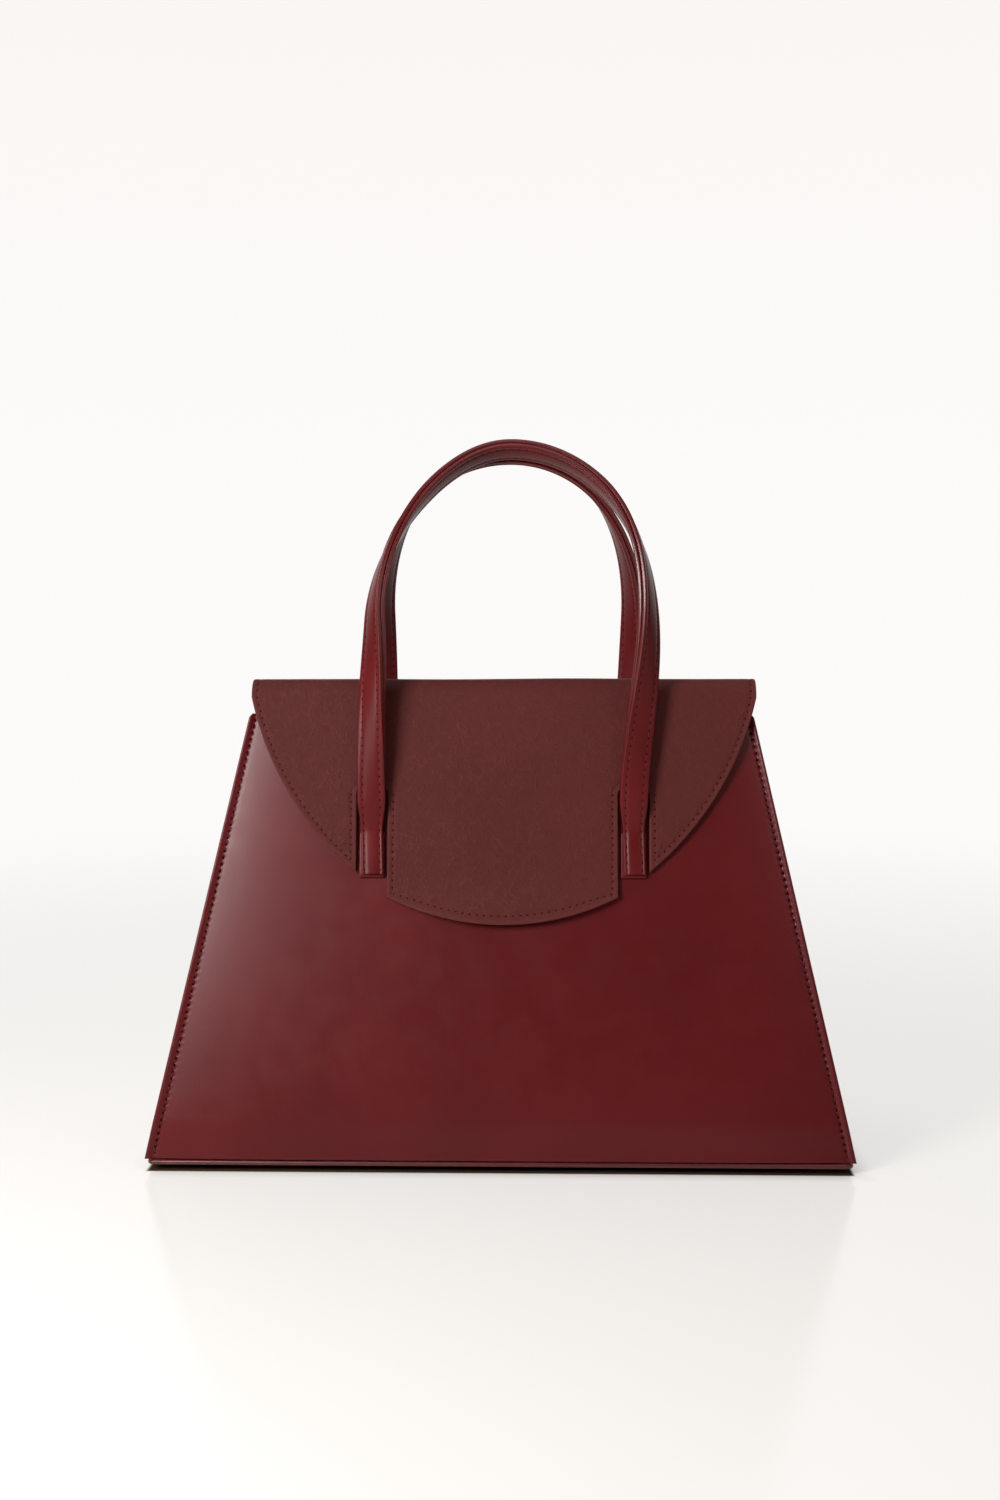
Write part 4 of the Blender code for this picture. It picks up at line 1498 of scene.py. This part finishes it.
def strapStations(side):
    # the whole strap, from one sewn end over the crown to the other: place on its back face,
    # outward direction, width direction, height above or below the crease, arrives True
    turned = wallFrame(side)
    wallOut = turned.to_3x3() @ Vector((0, 0, 1))
    low = below(strap["endDrop"]) + strap["endMargin"]
    ends = {}
    for sign in (-1, 1):
        ends[sign] = []
        for step in range(strap["endStations"]):
            length = low + (creaseLength - low) * step / strap["endStations"]
            depth = layerOffset + wallRelief(strapMiddle(sign), length)
            aside = strap["endShift"] * (1 - step / strap["endStations"])
            place = turned @ Vector((strapMiddle(sign) + aside, length, depth))
            ends[sign].append((place, wallOut, None, length - creaseLength))
    raised = {sign: wallRelief(strapMiddle(sign), creaseLength) for sign in (-1, 1)}
    middle = []
    for step in range(strap["stations"] + 1):
        share = step / strap["stations"]
        place, normal, across = handleFrame(side, share)
        height = place.z - creasePoint(side).z
        settle = smooth(height / strap["settle"])
        out = wallOut.lerp(normal, settle).normalized()
        sign = -1 if share < 0.5 else 1
        place = place - normal * strap["thickness"] / 2 + wallOut * raised[sign] * (1 - settle)
        middle.append((place, out, across, height))
    first, last = middle[0][2], middle[-1][2]
    left = [(place, out, first, height) for place, out, _, height in ends[-1]]
    right = [(place, out, last, height) for place, out, _, height in reversed(ends[1])]
    return left + middle + right


def strapSize(height):
    # half width and thickness, by height above the crease
    grown = smooth(height / strap["taper"])
    width = strap["endWidth"] + (strap["width"] - strap["endWidth"]) * grown
    full = strap["endLayer"] + (strap["thickness"] - strap["endLayer"]) * grown
    return width / 2, full, grown


def strapRow(grown):
    # how far inside its edges the strap is sewn, and how deep the threads lie
    share = min(max(grown, 0), 1)
    row = strap["endRow"] + (strap["row"] - strap["endRow"]) * share
    return row, strap["endGroove"] + (strap["groove"] - strap["endGroove"]) * share


def strapSurface(offset, half, grown):
    # the face's rise and fall across the strap, from its full height
    fromEdge = half - abs(offset)
    row, groove = strapRow(grown)
    drop = edgeDrop(fromEdge, strap["edgeRound"])
    press = groove * math.exp(-((fromEdge - row) / strap["grooveReach"]) ** 2)
    across = (half - row) / (strap["width"] / 2 - strap["row"])
    dome = strap["crown"] * across * (1 - (offset / (half - row)) ** 2) if fromEdge > row else 0
    return dome - drop - press


def strapLayer(side, layer):
    # one leather of the strap: the outer one runs from sewn end to sewn end
    stations = strapStations(side)
    if layer == "inner":
        stations = [item for item in stations if item[3] > strap["innerStart"]]
    edges = edgeSteps(strap["edgeRound"])
    crossings = strap["middleColumns"]
    count = 2 * (len(edges) + len(strap["columns"])) + crossings - 1

    def offsetAt(index, half, grown):
        near = edges + [strapRow(grown)[0] + step for step in strap["columns"]]
        if index < len(near):
            return near[index] - half
        if index > count - 1 - len(near):
            return half - near[count - 1 - index]
        share = (index - len(near) + 1) / crossings
        return (half - near[-1]) * (2 * share - 1)

    def place(i, j, back):
        point, out, across, height = stations[j]
        half, full, grown = strapSize(height)
        offset = offsetAt(i, half, grown)
        split = full / 2 * grown
        drop = edgeDrop(half - abs(offset), strap["edgeRound"])
        if layer == "outer":
            top = full + strapSurface(offset, half, grown)
            low = split + drop + 0.00005 * grown
        else:
            top = split - drop - 0.00005
            low = -strapSurface(offset, half, grown)
        low = min(low, top - 0.0002)
        return point + across * offset + out * (low if back else top)

    return gridSheet(count - 1, len(stations) - 1, place)


def strapStitches(side):
    stations = strapStations(side)
    low = below(strap["endDrop"]) + strap["endMargin"] + 0.0013 - creaseLength
    seam = newSeam()
    for sign in (-1, 1):
        for face in ("outer", "inner"):
            points, outs = [], []
            for point, out, across, height in stations:
                half, full, grown = strapSize(height)
                if face == "inner" and grown < 1:
                    continue
                if face == "outer" and height < low:
                    continue
                row, groove = strapRow(grown)
                level = full - groove if face == "outer" else groove
                points.append(point + across * sign * (half - row) + out * level)
                outs.append(out if face == "outer" else -out)
            sewRow(seam, points, outs, strap["pitch"])
    return seam


def strapBase(side, sign):
    # the sewn-down lower layer that frames the strap's end
    half = strap["baseWidth"] / 2
    low = below(strap["endDrop"])
    high = creaseLength - 0.0005
    radius = strap["baseRound"]
    near = edgeSteps(radius)
    columns = 2 * len(near) + 3
    rows = 2 * len(near) + 7
    turned = wallFrame(side)

    def spread(index, count, start, end):
        if index < len(near):
            return start + near[index]
        if index > count - len(near):
            return end - near[count - index]
        share = (index - len(near) + 1) / (count - 2 * len(near) + 2)
        return start + radius + (end - start - 2 * radius) * share

    def place(i, j, back):
        x = spread(i, columns, -half, half)
        length = spread(j, rows, low, high)
        drop = edgeDrop(min(half - abs(x), length - low, high - length), radius)
        middle = strapMiddle(sign)
        depth = bag["gap"] + wallRelief(middle + x, length)
        depth += drop if back else strap["baseLayer"] - drop
        return turned @ Vector((middle + x, length, depth))

    return gridSheet(columns, rows, place)


def strapPieces():
    for side, name in wallSides:
        crease = creasePoint(side)
        rider = name + "_handle"
        ends = [f"strap_end_{name}_left", f"strap_end_{name}_right"]
        outer = makePiece(name + "StrapOuter", strapLayer(side, "outer"), [gloss, paint],
                          [rider + "_outer"] + ends)
        inner = makePiece(name + "StrapInner", strapLayer(side, "inner"), [gloss, paint],
                          [rider + "_inner"])
        sewn = seamPiece(name + "StrapStitches", strapStitches(side))
        for piece in (outer, inner, sewn):
            bentHinge(piece, side, crease)
        for sign, place in ((-1, "left"), (1, "right")):
            plate = makePiece(f"{name}StrapBase{place.title()}", strapBase(side, sign),
                              [gloss, paint], [f"strap_base_{name}_{place}"])
            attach(plate, "root")


strapPieces()
print("straps made")


# Floor and light

stage = {
    "reach": 6.0,
    "near": 0.30,           # the floor shows its own shading up to here
    "far": 1.5,             # and is plain white paper from here on
    "paper": (0.70, 0.68, 0.645),
    "white": (0.970, 0.960, 0.945),
    # painted shade: the paper is drawn a little darker and warmer higher up behind the bag
    "high": (0.955, 0.923, 0.900),      # the paper behind the bag, higher up
    # painted shadow on the floor under the bag
    "shade": (0.05, 0.028, 0.018),      # under the bag
    "glow": 0.55,           # how much of the floor near the bag is plain white
    "roomColor": (1.0, 0.985, 0.965),
    "room": 0.25,
    "front": 0.02,          # light from behind the camera
    "frontWay": (0.10, -0.97, 0.22),
    "backdrop": 0.9,        # and from the paper behind the bag
    "rightShare": 0.35,     # what is left of the room's light on the right
}


def floorPaper():
    mesh = bmesh.new()
    bmesh.ops.create_grid(mesh, x_segments=8, y_segments=8, size=stage["reach"])
    data = bpy.data.meshes.new("floorPaper")
    mesh.to_mesh(data)
    mesh.free()
    material, tree, shader = newMaterial("floorPaper", stage["paper"], 0.16, specular=0.6)
    place = addNode(tree, "NewGeometry").outputs["Position"]
    distance = addNode(tree, "VectorMath", operation="LENGTH")
    tree.links.new(place, distance.inputs[0])
    away = ranged(tree, distance.outputs["Value"], stage["near"], stage["far"], stage["glow"], 1)
    x, y, _ = splitPlace(tree, place)
    outside = []
    for value, half in ((x, bag["baseWidth"] / 2), (y, bag["baseDepth"] / 2)):
        beyond = combined(tree, value, 0, "ABSOLUTE")
        outside.append(combined(tree, beyond, half, "SUBTRACT"))
    beside = combined(tree, outside[0], outside[1], "MAXIMUM")
    away = combined(tree, away, ranged(tree, beside, -0.004, 0.012, 0, 1), "MULTIPLY")
    kind = addNode(tree, "LightPath").outputs
    seen = combined(tree, kind["Is Camera Ray"], kind["Is Glossy Ray"], "MAXIMUM")
    glow = addNode(tree, "Emission", {"Color": (*stage["white"], 1), "Strength": 1.0})
    mixed = mixedShader(tree, combined(tree, away, seen, "MULTIPLY"), shader, glow)
    # painted shadow: inside the bag's footprint the floor turns a dark diffuse brown
    shade = addNode(tree, "BsdfDiffuse", {"Color": (*stage["shade"], 1)})
    whole = mixedShader(tree, ranged(tree, beside, -0.001, 0.001, 1, 0), mixed, shade)
    tree.links.new(whole.outputs[0], tree.nodes["Material Output"].inputs["Surface"])
    data.materials.append(material)
    paper = bpy.data.objects.new("floorPaper", data)
    bpy.context.scene.collection.objects.link(paper)


def roomLight():
    # white paper to the camera; to the bag a bright room with a dark wall in front of it
    world = bpy.data.worlds.new("room")
    bpy.context.scene.world = world
    world.use_nodes = True
    tree = world.node_tree
    way = addNode(tree, "TexCoord").outputs["Generated"]
    toward = addNode(tree, "VectorMath", {1: stage["frontWay"]}, operation="DOT_PRODUCT")
    tree.links.new(way, toward.inputs[0])
    front = ranged(tree, toward.outputs["Value"], 0.25, 0.80, 1, 0)
    strength = ranged(tree, front, 0, 1, stage["front"], stage["room"], "LINEAR")
    x, y, z = splitPlace(tree, way)
    low = ranged(tree, z, 0.25, 0.60, 1, 0)
    behind = combined(tree, ranged(tree, y, 0.20, 0.60, 0, 1), low, "MULTIPLY")
    right = ranged(tree, x, 0.2, 0.8, 1, stage["rightShare"])
    strength = combined(tree, strength, right, "MULTIPLY")
    strength = combined(tree, strength, combined(tree, behind, stage["backdrop"], "MULTIPLY"))
    room = tree.nodes["Background"]
    room.inputs["Color"].default_value = (*stage["roomColor"], 1)
    tree.links.new(strength, room.inputs["Strength"])
    plain = addNode(tree, "Background", {"Strength": 1.0})
    # painted shade: the paper seen by the camera darkens a little higher up
    paper = mixedColor(tree, ranged(tree, z, 0.05, 0.32, 0, 1), stage["white"], stage["high"])
    tree.links.new(paper, plain.inputs["Color"])
    seen = addNode(tree, "LightPath").outputs["Is Camera Ray"]
    mixed = mixedShader(tree, seen, room, plain)
    tree.links.new(mixed.outputs[0], tree.nodes["World Output"].inputs["Surface"])


lamps = {
    # place, middle of what it lights, size, power and colour
    "leftWindow": ((-0.50, -0.67, 0.47), (0, 0, 0.14), (0.32, 0.36), 10.2, (1.0, 0.985, 0.97)),
    "rightWindow": ((0.50, -0.67, 0.52), (0, 0, 0.14), (0.30, 0.36), 0.8, (1.0, 0.985, 0.97)),
    "rightBounce": ((1.75, -0.65, 0.75), (0, 0, 0.14), (0.8, 1.1), 2.6, (1.0, 0.96, 0.92)),
    "ceiling": ((-0.1, -0.15, 1.9), (0, 0, 0), (1.6, 1.6), 16, (1.0, 0.99, 0.98)),
}


def lightTheStage():
    for name, (place, aim, size, power, color) in lamps.items():
        data = bpy.data.lights.new(name, "AREA")
        data.shape = "RECTANGLE"
        data.size, data.size_y = size
        data.energy = power
        data.color = color
        lamp = bpy.data.objects.new(name, data)
        lamp.location = place
        lamp.rotation_euler = (Vector(aim) - Vector(place)).to_track_quat("-Z", "Y").to_euler()
        bpy.context.scene.collection.objects.link(lamp)


view = {
    "distance": 0.9,        # from the front edge of the base
    "height": 0.272,
    "pitch": 4.323,         # degrees down
    "turn": 1.33,           # degrees round the bag
    "aim": 0.06,            # degrees aside
    "lens": 45.876,
}


def addCamera():
    data = bpy.data.cameras.new("camera")
    data.lens = view["lens"]
    data.sensor_width = 36
    data.clip_start = 0.05
    camera = bpy.data.objects.new("camera", data)
    orbit = Matrix.Rotation(math.radians(view["turn"]), 4, "Z")
    camera.location = orbit @ Vector((0, -bag["baseDepth"] / 2 - view["distance"], view["height"]))
    camera.rotation_euler = (math.radians(90 - view["pitch"]), 0,
                             math.radians(view["turn"] + view["aim"]))
    bpy.context.scene.collection.objects.link(camera)
    bpy.context.scene.camera = camera


floorPaper()
roomLight()
lightTheStage()
addCamera()
bpy.context.scene.view_settings.view_transform = "Standard"
print("stage set")

bpy.context.view_layer.update()
